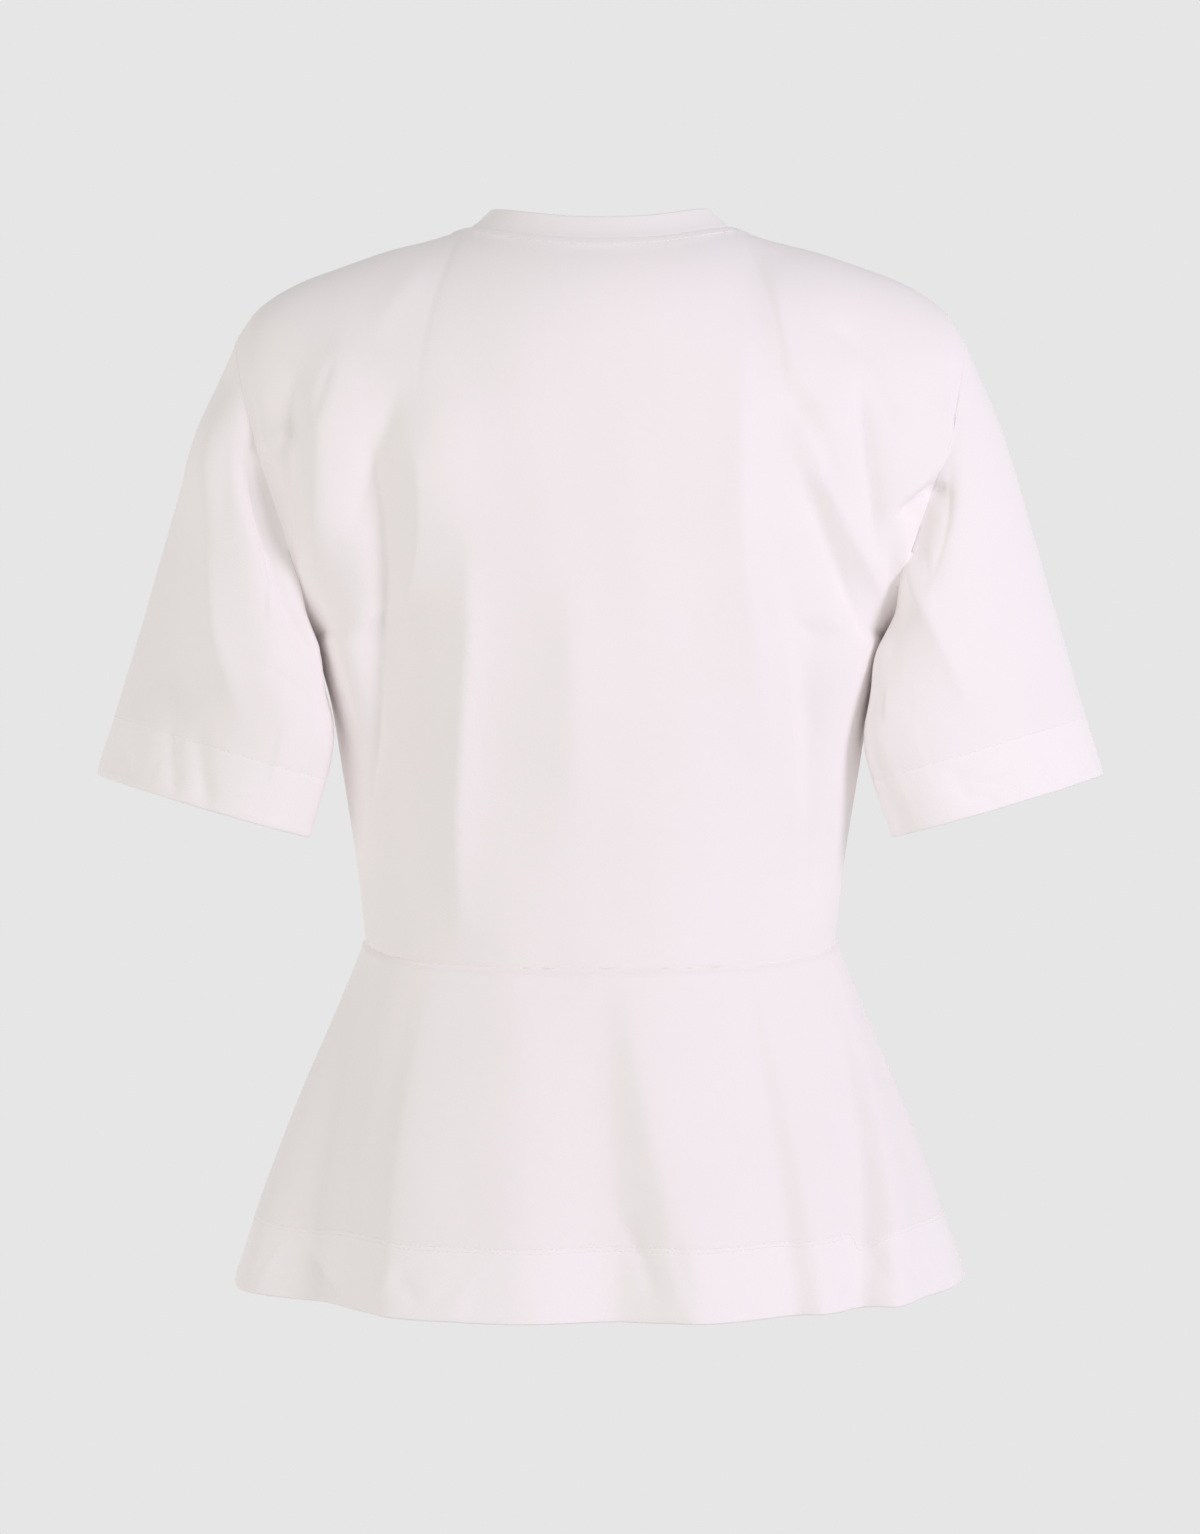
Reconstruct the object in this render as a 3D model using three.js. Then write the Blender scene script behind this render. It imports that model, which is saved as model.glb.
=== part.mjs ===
// Short-sleeved peplum top in cotton jersey, filled out as it is when worn, with nobody in it.
// Millimetres, +Z up. The front faces -Y, and the wearer's left is +X.
// The origin lies midway between the two shoulder points, where the shoulder seams meet the neckband.
// That is where the wearer's neck and shoulders hold the top.
import * as THREE from "three";

// Cloth and seams
const CLOTH = 1.2; // one layer of jersey
const HEM_CLOTH = 2.2; // a turned hem, two layers
const BAND_CLOTH = 2.4; // the folded neckband, two layers
const SEAM_GAP = 0.3; // clearance between two sewn pieces
const HEM_DEPTH = 39; // the turned hem of the peplum
const CUFF_DEPTH = 34; // the turned hem of a sleeve
const HEM_STEP = 1.5; // how quickly a wall thickens at the top of a turned hem

// Neckline
const NECK_HALF = 76; // from the middle out to a shoulder point
const NECK_CROWN = 13; // how far the shoulders' surface would rise over the middle of the neck
// How far each neckline lies from the shoulder points, how far it drops under that surface, and how
// late it does so: a higher curl makes a more pointed neckline.
const BACK_NECK = { depth: 62, drop: 25, curl: 2 };
const FRONT_NECK = { depth: 78, drop: 93, curl: 1.7 };
const BAND_LEAN = 0.84; // the neckband's fold, as a share of its seam's width
const BAND_RISE = { side: 11.4, back: 14.5, front: 14 }; // the fold's height over the seam
const BAND_CENTRE_Y = -8; // the middle of the neck opening, which the fold leans towards

// Shoulder seam, from the shoulder point out to the sleeve
const SHOULDER_LINE = [
  { x: NECK_HALF, z: 0 },
  { x: 97, z: -6.8 },
  { x: 123, z: -13.4 },
  { x: 148, z: -22 },
  { x: 174, z: -32 },
  { x: 194.5, z: -45.5 },
  { x: 206.6, z: -62 },
];

// Sections of the two bodice panels, from the waist seam up to the middle of the armhole.
// Each gives the panel's edge, then its depth and height at the middle, and the rows of
// faces up to the next section. The edge is the side seam as far as the underarm, then the armhole.
const BACK_SECTIONS = [
  { name: "waist", edgeX: 133.8, edgeY: 0, edgeZ: -403, midY: 84, midZ: -417, faces: 3 },
  { name: "midriff", edgeX: 138.8, edgeY: 0, edgeZ: -360, midY: 87, midZ: -369, faces: 3 },
  { name: "ribs", edgeX: 147, edgeY: 0, edgeZ: -308, midY: 94, midZ: -316, faces: 2 },
  { name: "side", edgeX: 153.8, edgeY: 0, edgeZ: -268, midY: 100, midZ: -276, faces: 2 },
  { name: "underarm", edgeX: 162, edgeY: 0, edgeZ: -238, midY: 103.5, midZ: -240, faces: 2 },
  { name: "armhole foot", edgeX: 165, edgeY: 30, edgeZ: -231, midY: 105.5, midZ: -217, faces: 2 },
  { name: "armhole bend", edgeX: 171, edgeY: 47, edgeZ: -209, midY: 106.5, midZ: -194, faces: 2 },
  { name: "shoulder blade", edgeX: 181, edgeY: 55, edgeZ: -178, midY: 106, midZ: -168, faces: 2 },
  { name: "across back", edgeX: 191, edgeY: 54, edgeZ: -142, midY: 104, midZ: -140, faces: 0 },
];
const FRONT_SECTIONS = [
  { name: "waist", edgeX: 133.8, edgeY: 0, edgeZ: -403, midY: 94, midZ: -411, faces: 3 },
  { name: "midriff", edgeX: 138.8, edgeY: 0, edgeZ: -360, midY: 101, midZ: -366, faces: 3 },
  { name: "ribs", edgeX: 147, edgeY: 0, edgeZ: -308, midY: 114, midZ: -313, faces: 2 },
  { name: "bust", edgeX: 153.8, edgeY: 0, edgeZ: -268, midY: 122, midZ: -273, faces: 2 },
  { name: "underarm", edgeX: 162, edgeY: 0, edgeZ: -238, midY: 123, midZ: -243, faces: 2 },
  { name: "armhole foot", edgeX: 164.5, edgeY: 27, edgeZ: -232, midY: 120, midZ: -222, faces: 2 },
  { name: "armhole bend", edgeX: 168, edgeY: 42, edgeZ: -212, midY: 115, midZ: -200, faces: 2 },
  { name: "chest", edgeX: 175, edgeY: 49, edgeZ: -180, midY: 109, midZ: -175, faces: 2 },
  { name: "across chest", edgeX: 184, edgeY: 48, edgeZ: -144, midY: 100, midZ: -147, faces: 0 },
];
const UNDERARM = 4; // which of these sections is the underarm
const COLUMNS = 36; // faces across a bodice panel
const NECK_COLUMNS = 16; // the middle ones of those, which end at the neckline
const SHOULDER_FACES = 6; // rows from the last section up to the shoulder seam
const ARCH = 1.12; // how full a panel's curve is from there up, against the straight line

// Rings of a sleeve under its armhole. "along" is how far down the sleeve they lie. Each is an oval:
// its outer and inner point, and half its depth, front to back. The inner point lies further back,
// where the sleeve laps over the side of the bodice.
const SLEEVE_RINGS = [
  { name: "crown", along: 0.18, outX: 228, outY: -3, outZ: -112, inX: 159.8, inY: 18, inZ: -251, halfY: 54 },
  { name: "upper", along: 0.38, outX: 246.5, outY: -9, outZ: -170, inX: 153.4, inY: 30, inZ: -266, halfY: 53 },
  { name: "arm", along: 0.66, outX: 268, outY: -18, outZ: -241, inX: 148.6, inY: 36, inZ: -289, halfY: 50 },
  { name: "cuff", along: 1, outX: 289.3, outY: -24, outZ: -309, inX: 163.6, inY: 26, inZ: -345, halfY: 52 },
];
const SLEEVE_ROWS = 7; // rows of faces on a sleeve between its armhole and its turned hem
const SLEEVE_FALL = 185; // the sleeve's mean length, armhole to cuff

// Sections of the peplum, all round: half its width, its depth behind and in front, its heights.
const PEPLUM_SECTIONS = [
  { name: "waist", along: 0, sideZ: -403, backZ: -417, frontZ: -411, halfX: 133.8, back: 84, front: 94 },
  { name: "hip", along: 0.25, sideZ: -450, backZ: -464, frontZ: -458, halfX: 153, back: 101, front: 109 },
  { name: "flare", along: 0.62, sideZ: -520, backZ: -533, frontZ: -529, halfX: 182, back: 122, front: 127 },
  { name: "hem", along: 1, sideZ: -593, backZ: -604.5, frontZ: -602, halfX: 207.3, back: 138, front: 141 },
];
const PEPLUM_COLUMNS = 54; // faces across one peplum panel
const PEPLUM_ROWS = 6; // rows of faces from its waist seam to its turned hem
const PEPLUM_FALL = 194; // its length at the middle of the back

// Flutes of the peplum: degrees round from the middle of the back, towards the wearer's left, at the
// waist and at the hem, the width of its left and its right flank in degrees, and how far it stands out.
const FLUTES = [
  { name: "left side roll", waist: 88, hem: 69, left: 10, right: 6, out: 6 },
  { name: "left hollow", waist: 74, hem: 54, left: 6, right: 9, out: -13 },
  { name: "left corner", waist: 47, hem: 34.5, left: 6, right: 13, out: 7 },
  { name: "back roll", waist: 20, hem: 12.5, left: 13, right: 13, out: 4 },
  { name: "back hollow", waist: 0, hem: -2, left: 8, right: 6, out: -7.5 },
  { name: "back corner", waist: -5, hem: -14.5, left: 4.5, right: 10, out: 7.5 },
  { name: "right hollow", waist: -36, hem: -31.5, left: 8, right: 3.4, out: -5.5 },
  { name: "right roll", waist: -40, hem: -35, left: 3.4, right: 9, out: 4 },
  { name: "corner hollow", waist: -70, hem: -45.5, left: 7, right: 3.4, out: -6 },
  { name: "corner roll", waist: -74, hem: -48.5, left: 3.4, right: 9, out: 7 },
  { name: "right side hollow", waist: -88, hem: -62, left: 7, right: 7, out: -3.5 },
  { name: "left front hollow", waist: 112, hem: 112, left: 6, right: 9, out: -7 },
  { name: "left front roll", waist: 128, hem: 130, left: 9, right: 8, out: 7 },
  { name: "left middle hollow", waist: 150, hem: 151, left: 5, right: 8, out: -8 },
  { name: "front roll", waist: 172, hem: 174, left: 11, right: 9, out: 6 },
  { name: "right middle hollow", waist: 197, hem: 199, left: 8, right: 5, out: -8 },
  { name: "right front roll", waist: 216, hem: 219, left: 8, right: 10, out: 7 },
  { name: "right front hollow", waist: 237, hem: 239, left: 6, right: 8, out: -7 },
];
const FLUTE_START = 0.85; // how late a flute comes out below the waist: 1 is evenly all the way
const FLUTE_FADE = 0.12; // flutes die away in this share of a panel beside its side seams

// Largest folds of the bodice and sleeves, as they are seen from behind and from in front: both ends,
// how far the fold bows sideways, half its width, and how far it stands out.
const BACK_FOLDS = [
  { name: "left blade roll", x1: 148, z1: -68, x2: 160, z2: -190, bow: -4, width: 12, out: 4.5 },
  { name: "left blade hollow", x1: 117, z1: -95, x2: 141, z2: -168, bow: 0, width: 10, out: -4 },
  { name: "left armhole drag", x1: 176, z1: -88, x2: 174, z2: -186, bow: -5, width: 8, out: -4.5 },
  { name: "left underarm drag", x1: 206, z1: -120, x2: 163, z2: -243, bow: -1, width: 9, out: -5.5 },
  { name: "left side hollow", x1: 103, z1: -140, x2: 134, z2: -335, bow: -6, width: 13, out: -6.5 },
  { name: "left back roll", x1: 76, z1: -190, x2: 80, z2: -395, bow: 1, width: 14, out: 4.5 },
  { name: "left sleeve roll", x1: 218, z1: -100, x2: 206, z2: -272, bow: -9, width: 13, out: 6 },
  { name: "left sleeve hollow", x1: 231, z1: -150, x2: 244, z2: -285, bow: -4, width: 12, out: -4.5 },
  { name: "right neck roll", x1: -97, z1: -22, x2: -140, z2: -122, bow: -8, width: 13, out: 4 },
  { name: "right back roll", x1: -80, z1: -70, x2: -95, z2: -290, bow: -4, width: 15, out: 3.6 },
  { name: "right side roll", x1: -96, z1: -195, x2: -113, z2: -350, bow: 1, width: 10, out: 3.6 },
  { name: "right side hollow", x1: -117, z1: -250, x2: -118, z2: -395, bow: 3, width: 12, out: -3.6 },
  { name: "right drag roll", x1: -112, z1: -112, x2: -158, z2: -205, bow: 0, width: 9, out: 4 },
  { name: "right drag hollow", x1: -114, z1: -138, x2: -150, z2: -228, bow: 0, width: 9, out: -4 },
  { name: "right armhole drag", x1: -147, z1: -88, x2: -158, z2: -178, bow: -2, width: 9, out: -5 },
  { name: "right armhole loop", x1: -197, z1: -98, x2: -164, z2: -162, bow: 8, width: 9, out: 4 },
  { name: "right loop hollow", x1: -196, z1: -144, x2: -171, z2: -163, bow: 0, width: 8, out: -4 },
  { name: "right underarm hollow", x1: -165, z1: -172, x2: -163, z2: -250, bow: 1, width: 7, out: -3.3 },
  { name: "right sleeve roll", x1: -167, z1: -164, x2: -210, z2: -272, bow: 0, width: 9, out: 3.6 },
];
const FRONT_FOLDS = [
  { name: "left chest drag", x1: 158, z1: -60, x2: 150, z2: -190, bow: -8, width: 12, out: -4 },
  { name: "left side hollow", x1: 110, z1: -270, x2: 121, z2: -392, bow: 0, width: 13, out: -4.5 },
  { name: "left waist roll", x1: 64, z1: -300, x2: 66, z2: -398, bow: 2, width: 13, out: 2.2 },
  { name: "left bust roll", x1: 150, z1: -225, x2: 92, z2: -262, bow: 5, width: 13, out: 3 },
  { name: "right chest drag", x1: -156, z1: -66, x2: -147, z2: -182, bow: 8, width: 12, out: -4 },
  { name: "right side hollow", x1: -104, z1: -290, x2: -117, z2: -398, bow: -1, width: 13, out: -4.5 },
  { name: "right waist roll", x1: -42, z1: -310, x2: -44, z2: -400, bow: 2, width: 12, out: 1.8 },
  { name: "right bust roll", x1: -152, z1: -232, x2: -98, z2: -258, bow: -5, width: 13, out: 3 },
  { name: "left sleeve hollow", x1: 236, z1: -190, x2: 240, z2: -340, bow: 4, width: 12, out: -4 },
  { name: "right sleeve hollow", x1: -230, z1: -195, x2: -222, z2: -345, bow: -3, width: 12, out: -4 },
];
const FOLD_FADE = 22; // folds die away this far before the side seams and the shoulder ridge
const SEEN_FROM = { distance: 2400, height: -306 }; // where the folds are looked at from

const QUARTER = Math.PI / 2;
const COLOURS = { panel: 0xf3eef0, sleeve: 0xf4eff1, band: 0xf1ecee, peplum: 0xf2ecee };

const radians = THREE.MathUtils.degToRad;
const smoothstep = THREE.MathUtils.smoothstep;

// Reads one column of a table as a smooth line, at the place that the key column gives.
// The line is level where the column's values turn or stand still, so it never passes them.
function along(table, key, column, at) {
  const last = table.length - 1;
  const downward = table[last][key] < table[0][key];
  let i = 0;
  while (i < last - 1 && (downward ? at < table[i + 1][key] : at > table[i + 1][key])) {
    i += 1;
  }
  const slope = (k) => {
    const before = table[Math.max(k - 1, 0)];
    const after = table[Math.min(k + 1, last)];
    const turns = (after[column] - table[k][column]) * (table[k][column] - before[column]) <= 0;
    const inside = k > 0 && k < last;
    return inside && turns ? 0 : (after[column] - before[column]) / (after[key] - before[key]);
  };
  const step = table[i + 1][key] - table[i][key];
  const s = (at - table[i][key]) / step;
  return hermite(table[i][column], slope(i) * step, table[i + 1][column], slope(i + 1) * step, s);
}

function hermite(from, leave, to, arrive, s) {
  const rest = 1 - s;
  return (
    from * (1 + 2 * s) * rest * rest +
    leave * s * rest * rest +
    to * s * s * (3 - 2 * s) -
    arrive * s * s * rest
  );
}

// The bodice. Side 1 is the back and -1 the front. "across" runs from -1 to 1, towards +X.
function sectionPoint(sections, side, across, level) {
  const numbered = sections.map((row, order) => ({ ...row, order }));
  const read = (column) => along(numbered, "order", column, level);
  const midY = read("midY");
  const span = Math.acos(read("edgeY") / midY);
  const halfX = read("edgeX") / Math.sin(span);
  const lift = (1 - Math.cos(across * QUARTER)) ** 1.5;
  return new THREE.Vector3(
    halfX * Math.sin(across * span),
    side * midY * Math.cos(across * span),
    THREE.MathUtils.lerp(read("midZ"), read("edgeZ"), lift),
  );
}

function shoulderHeight(x) {
  if (x < NECK_HALF) {
    return NECK_CROWN * (1 - (x / NECK_HALF) ** 2);
  }
  return along(SHOULDER_LINE, "x", "z", x);
}

// A point of a panel's top edge, and the direction in which the cloth passes over it.
function topEdge(neck, side, across) {
  const neckShare = NECK_COLUMNS / COLUMNS;
  const place = Math.abs(across) / neckShare;
  const tip = SHOULDER_LINE[SHOULDER_LINE.length - 1].x;
  let x = THREE.MathUtils.mapLinear(Math.abs(across), neckShare, 1, NECK_HALF, tip);
  let y = 0;
  if (place < 1) {
    const share = 0.8 * Math.sin(place * QUARTER) + 0.2 * place;
    x = NECK_HALF * share;
    y = neck.depth * Math.sqrt(1 - share * share);
  }
  const z = shoulderHeight(x) - neck.drop * (y / neck.depth) ** neck.curl;
  const rise = ((neck.curl * neck.drop) / neck.depth) * (y / neck.depth) ** (neck.curl - 1);
  return {
    point: new THREE.Vector3(Math.sign(across) * x, side * y, z),
    heading: new THREE.Vector3(0, -side, rise).normalize(),
  };
}

function bodicePoint(sections, neck, side, across, level, over) {
  const start = sectionPoint(sections, side, across, level);
  if (over === 0) {
    return start;
  }
  const below = sectionPoint(sections, side, across, level - 0.05);
  const { point, heading } = topEdge(neck, side, across);
  const reach = ARCH * start.distanceTo(point);
  const leave = start.clone().sub(below).normalize().multiplyScalar(reach);
  const arrive = heading.multiplyScalar(reach);
  return new THREE.Vector3(
    hermite(start.x, leave.x, point.x, arrive.x, over),
    hermite(start.y, leave.y, point.y, arrive.y, over),
    hermite(start.z, leave.z, point.z, arrive.z, over),
  );
}

// A piece is a grid of points on the outer face of the cloth: rows from its lower edge up, and
// columns that turn anticlockwise, seen from above. A ring's last column joins its first.
function bodicePanel(sections, neck, side) {
  const grid = [];
  const addRow = (level, over) => {
    const row = [];
    for (let c = 0; c <= COLUMNS; c += 1) {
      const across = side * (1 - (2 * c) / COLUMNS);
      row.push(bodicePoint(sections, neck, side, across, level, over));
    }
    grid.push(row);
  };
  const last = sections.length - 1;
  for (let s = 0; s < last; s += 1) {
    for (let k = 0; k < sections[s].faces; k += 1) {
      addRow(s + k / sections[s].faces, 0);
    }
  }
  for (let k = 0; k <= SHOULDER_FACES; k += 1) {
    addRow(last, k / SHOULDER_FACES);
  }
  return { grid, ring: false, thickness: () => CLOTH };
}

// The armhole, as the two panels leave it: from the underarm up one panel and down the other.
function armhole(back, front, side) {
  const underarmRow = BACK_SECTIONS.slice(0, UNDERARM).reduce((sum, row) => sum + row.faces, 0);
  const edge = (panel, atStart) =>
    panel.grid.slice(underarmRow).map((row) => row[atStart ? 0 : row.length - 1]);
  const backEdge = edge(back, side === 1);
  const frontEdge = edge(front, side === -1);
  const up = side === 1 ? frontEdge : backEdge;
  const down = side === 1 ? backEdge : frontEdge;
  return [...up, ...down.slice(1, -1).reverse()];
}

function sleeve(back, front, side) {
  const loop = armhole(back, front, side);
  const columns = loop.length;
  const hemStart = 1 - CUFF_DEPTH / SLEEVE_FALL;
  const places = [1, (1 + hemStart) / 2, hemStart, hemStart - HEM_STEP / SLEEVE_FALL];
  for (let k = SLEEVE_ROWS - 1; k >= 0; k -= 1) {
    places.push((k * places[3]) / SLEEVE_ROWS);
  }
  const ringPoint = (ring, turn) => {
    const out = (1 - Math.cos(turn)) / 2;
    return {
      along: ring.along,
      x: side * THREE.MathUtils.lerp(ring.inX, ring.outX, out),
      y: THREE.MathUtils.lerp(ring.inY, ring.outY, out) - side * ring.halfY * Math.sin(turn),
      z: THREE.MathUtils.lerp(ring.inZ, ring.outZ, out),
    };
  };
  const lines = loop.map((point, c) => {
    const turn = (2 * Math.PI * c) / columns;
    const start = { along: 0, x: point.x, y: point.y, z: point.z };
    return [start, ...SLEEVE_RINGS.map((ring) => ringPoint(ring, turn))];
  });
  const grid = places.map((place) =>
    lines.map((line) => {
      const read = (column) => along(line, "along", column, place);
      return new THREE.Vector3(read("x"), read("y"), read("z"));
    }),
  );
  return { grid, ring: true, thickness: (row) => (row < 3 ? HEM_CLOTH : CLOTH) };
}

function fluteHeight(degrees, place) {
  let out = 0;
  for (const flute of FLUTES) {
    const middle = THREE.MathUtils.lerp(flute.waist, flute.hem, place);
    const away = THREE.MathUtils.euclideanModulo(degrees - middle + 180, 360) - 180;
    const width = away > 0 ? flute.left : flute.right;
    out += flute.out * Math.exp(-((away / width) ** 2));
  }
  return out * place ** FLUTE_START;
}

function peplumPanel(side) {
  const hemStart = 1 - HEM_DEPTH / PEPLUM_FALL;
  const places = [1, (1 + hemStart) / 2, hemStart, hemStart - HEM_STEP / PEPLUM_FALL];
  for (let k = PEPLUM_ROWS - 1; k >= 0; k -= 1) {
    places.push((k * places[3]) / PEPLUM_ROWS);
  }
  const grid = places.map((place) => {
    const read = (column) => along(PEPLUM_SECTIONS, "along", column, place);
    const row = [];
    for (let c = 0; c <= PEPLUM_COLUMNS; c += 1) {
      const across = side * (1 - (2 * c) / PEPLUM_COLUMNS);
      const angle = across * QUARTER;
      const degrees = side === 1 ? across * 90 : 180 - across * 90;
      const lift = (1 - Math.cos(angle)) ** THREE.MathUtils.lerp(1.5, 1, place);
      const seamFade = smoothstep(1 - Math.abs(across), 0, FLUTE_FADE);
      const out = fluteHeight(degrees, place) * seamFade;
      const halfY = read(side === 1 ? "back" : "front");
      const point = new THREE.Vector3(
        (read("halfX") + out) * Math.sin(angle),
        side * (halfY + out) * Math.cos(angle),
        THREE.MathUtils.lerp(read(side === 1 ? "backZ" : "frontZ"), read("sideZ"), lift),
      );
      row.push(point);
    }
    return row;
  });
  return { grid, ring: false, thickness: (row) => (row < 3 ? HEM_CLOTH : CLOTH) };
}

// The neckband stands on the neckline that the two panels leave, and leans in towards the neck.
function neckband(back, front) {
  const first = (COLUMNS - NECK_COLUMNS) / 2;
  const neckline = (panel) => panel.grid[panel.grid.length - 1].slice(first, first + NECK_COLUMNS + 1);
  const seam = [...neckline(back), ...neckline(front).slice(1, -1)];
  const grid = [0, 0.35, 0.7, 1].map((place) =>
    seam.map((point) => {
      const depth = point.y > 0 ? BACK_NECK.depth : FRONT_NECK.depth;
      const end = point.y > 0 ? BAND_RISE.back : BAND_RISE.front;
      const rise = THREE.MathUtils.lerp(BAND_RISE.side, end, Math.abs(point.y) / depth);
      const lean = THREE.MathUtils.lerp(1, BAND_LEAN, place ** 0.9);
      return new THREE.Vector3(
        point.x * lean,
        THREE.MathUtils.lerp(BAND_CENTRE_Y, point.y, lean),
        point.z + rise * place ** 1.15,
      );
    }),
  );
  return { grid, ring: true, thickness: () => BAND_CLOTH };
}

// Normals of a piece, and the same with those of sewn neighbours averaged along the seams.
function normalsOf(piece) {
  const { grid, ring } = piece;
  return grid.map((row, r) =>
    row.map((_, c) => {
      const last = row.length - 1;
      const left = ring ? row[(c + last) % row.length] : row[Math.max(c - 1, 0)];
      const right = ring ? row[(c + 1) % row.length] : row[Math.min(c + 1, last)];
      const below = grid[Math.max(r - 1, 0)][c];
      const above = grid[Math.min(r + 1, grid.length - 1)][c];
      const across = right.clone().sub(left);
      return across.cross(above.clone().sub(below)).normalize();
    }),
  );
}

const isEdge = (piece, r, c) =>
  r === 0 || r === piece.grid.length - 1 || (!piece.ring && (c === 0 || c === piece.grid[r].length - 1));

// The angle that a piece fills round one of its points, so that a corner counts for less at a seam.
function filledAngle({ grid, ring }, r, c) {
  const columns = grid[r].length;
  const right = ring ? grid[r][(c + 1) % columns] : grid[r][c + 1];
  const left = ring ? grid[r][(c + columns - 1) % columns] : grid[r][c - 1];
  const round = [right, grid[r + 1]?.[c], left, grid[r - 1]?.[c]];
  const arms = round.map((point) => point?.clone().sub(grid[r][c]));
  return arms.reduce((sum, arm, k) => {
    const next = arms[(k + 1) % arms.length];
    return arm && next ? sum + arm.angleTo(next) : sum;
  }, 0);
}

const placeName = (point) => point.toArray().map((value) => Math.round(value * 100)).join(",");

function sewNormals(pieces) {
  const shared = new Map();
  const all = pieces.map(normalsOf);
  pieces.forEach((piece, p) => {
    piece.grid.forEach((row, r) =>
      row.forEach((point, c) => {
        if (isEdge(piece, r, c)) {
          const key = placeName(point);
          const sum = shared.get(key) ?? new THREE.Vector3();
          shared.set(key, sum.addScaledVector(all[p][r][c], filledAngle(piece, r, c)));
        }
      }),
    );
  });
  return pieces.map((piece, p) =>
    piece.grid.map((row, r) =>
      row.map((point, c) =>
        isEdge(piece, r, c) ? shared.get(placeName(point)).clone().normalize() : all[p][r][c],
      ),
    ),
  );
}

function foldHeight(point) {
  const folds = point.y > 0 ? BACK_FOLDS : FRONT_FOLDS;
  const nearer = SEEN_FROM.distance / (SEEN_FROM.distance - Math.abs(point.y));
  const seenX = point.x * nearer;
  const seenZ = SEEN_FROM.height + (point.z - SEEN_FROM.height) * nearer;
  const fade = smoothstep(Math.abs(point.y), 0, FOLD_FADE);
  let out = 0;
  for (const fold of folds) {
    const runX = fold.x2 - fold.x1;
    const runZ = fold.z2 - fold.z1;
    const length = Math.hypot(runX, runZ);
    const s = ((seenX - fold.x1) * runX + (seenZ - fold.z1) * runZ) / length ** 2;
    const aside = ((seenX - fold.x1) * runZ - (seenZ - fold.z1) * runX) / length;
    const bowed = aside - fold.bow * 4 * s * (1 - s);
    const ends = smoothstep(s, -0.15, 0.25) * smoothstep(1 - s, -0.15, 0.25);
    out += fold.out * Math.exp(-((bowed / fold.width) ** 2)) * ends;
  }
  return out * fade;
}

// Draws the largest folds into the pieces, alike on both sides of every seam.
function fold(pieces) {
  const normals = sewNormals(pieces);
  return pieces.map((piece, p) => ({
    ...piece,
    grid: piece.grid.map((row, r) =>
      row.map((point, c) => point.clone().addScaledVector(normals[p][r][c], foldHeight(point))),
    ),
  }));
}

// Moves a piece's edges back from its seams, half the gap each.
function drawBack(piece, normals) {
  const { grid, ring } = piece;
  const moved = grid.map((row) => row.map((point) => point.clone()));
  const top = grid.length - 1;
  const right = grid[0].length - 1;
  const inward = (from, to) => {
    const run = grid[to[0]][to[1]].clone().sub(grid[from[0]][from[1]]);
    const normal = normals[from[0]][from[1]].clone().add(normals[to[0]][to[1]]);
    return normal.cross(run).normalize();
  };
  const follow = (loop) => {
    loop.forEach((place, k) => {
      const before = loop[(k + loop.length - 1) % loop.length];
      const after = loop[(k + 1) % loop.length];
      const first = inward(before, place);
      const second = inward(place, after);
      const share = SEAM_GAP / 2 / Math.max(1 + first.dot(second), 0.4);
      moved[place[0]][place[1]].addScaledVector(first.add(second), share);
    });
  };
  const bottomRow = grid[0].map((_, c) => [0, c]);
  const topRow = grid[0].map((_, c) => [top, right - c]);
  if (ring) {
    follow(bottomRow);
    follow(topRow);
  } else {
    const rightColumn = grid.slice(1, -1).map((_, r) => [r + 1, right]);
    const leftColumn = grid.slice(1, -1).map((_, r) => [top - 1 - r, 0]);
    follow([...bottomRow, ...rightColumn, ...topRow, ...leftColumn]);
  }
  return moved;
}

// Gives a piece its cloth: the outer face, the inner face one thickness in, and its edges.
function wall(piece, normals) {
  const outer = drawBack(piece, normals);
  const rows = outer.length;
  const columns = outer[0].length;
  const positions = [];
  for (const row of outer) {
    for (const point of row) {
      positions.push(...point);
    }
  }
  outer.forEach((row, r) =>
    row.forEach((point, c) => {
      positions.push(...point.clone().addScaledVector(normals[r][c], -piece.thickness(r)));
    }),
  );
  const faces = [];
  const inner = rows * columns;
  const quad = (a, b, c, d) => faces.push(a, b, c, a, c, d);
  const spans = piece.ring ? columns : columns - 1;
  for (let r = 0; r < rows - 1; r += 1) {
    for (let c = 0; c < spans; c += 1) {
      const next = (c + 1) % columns;
      const a = r * columns + c;
      const b = r * columns + next;
      const [d, e] = [b + columns, a + columns];
      const across = outer[r][c].distanceTo(outer[r + 1][next]);
      const back = outer[r][next].distanceTo(outer[r + 1][c]);
      if (across < back) {
        quad(a, b, d, e);
        quad(inner + a, inner + e, inner + d, inner + b);
      } else {
        quad(b, d, e, a);
        quad(inner + e, inner + d, inner + b, inner + a);
      }
    }
  }
  // An edge is split from its higher outer corner, so that both sides of a seam are split alike.
  const height = (index) => positions[3 * index + 2];
  const edge = (from, to) => {
    if (height(from) > height(to)) {
      quad(from, inner + from, inner + to, to);
    } else {
      quad(inner + from, inner + to, to, from);
    }
  };
  const lastRow = (rows - 1) * columns;
  for (let c = 0; c < spans; c += 1) {
    const next = (c + 1) % columns;
    edge(c, next);
    edge(lastRow + next, lastRow + c);
  }
  if (!piece.ring) {
    for (let r = 0; r < rows - 1; r += 1) {
      const left = r * columns;
      const right = left + columns - 1;
      edge(left + columns, left);
      edge(right, right + columns);
    }
  }
  const geometry = new THREE.BufferGeometry();
  geometry.setAttribute("position", new THREE.Float32BufferAttribute(positions, 3));
  geometry.setIndex(faces);
  geometry.computeVertexNormals();
  return geometry;
}

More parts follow.
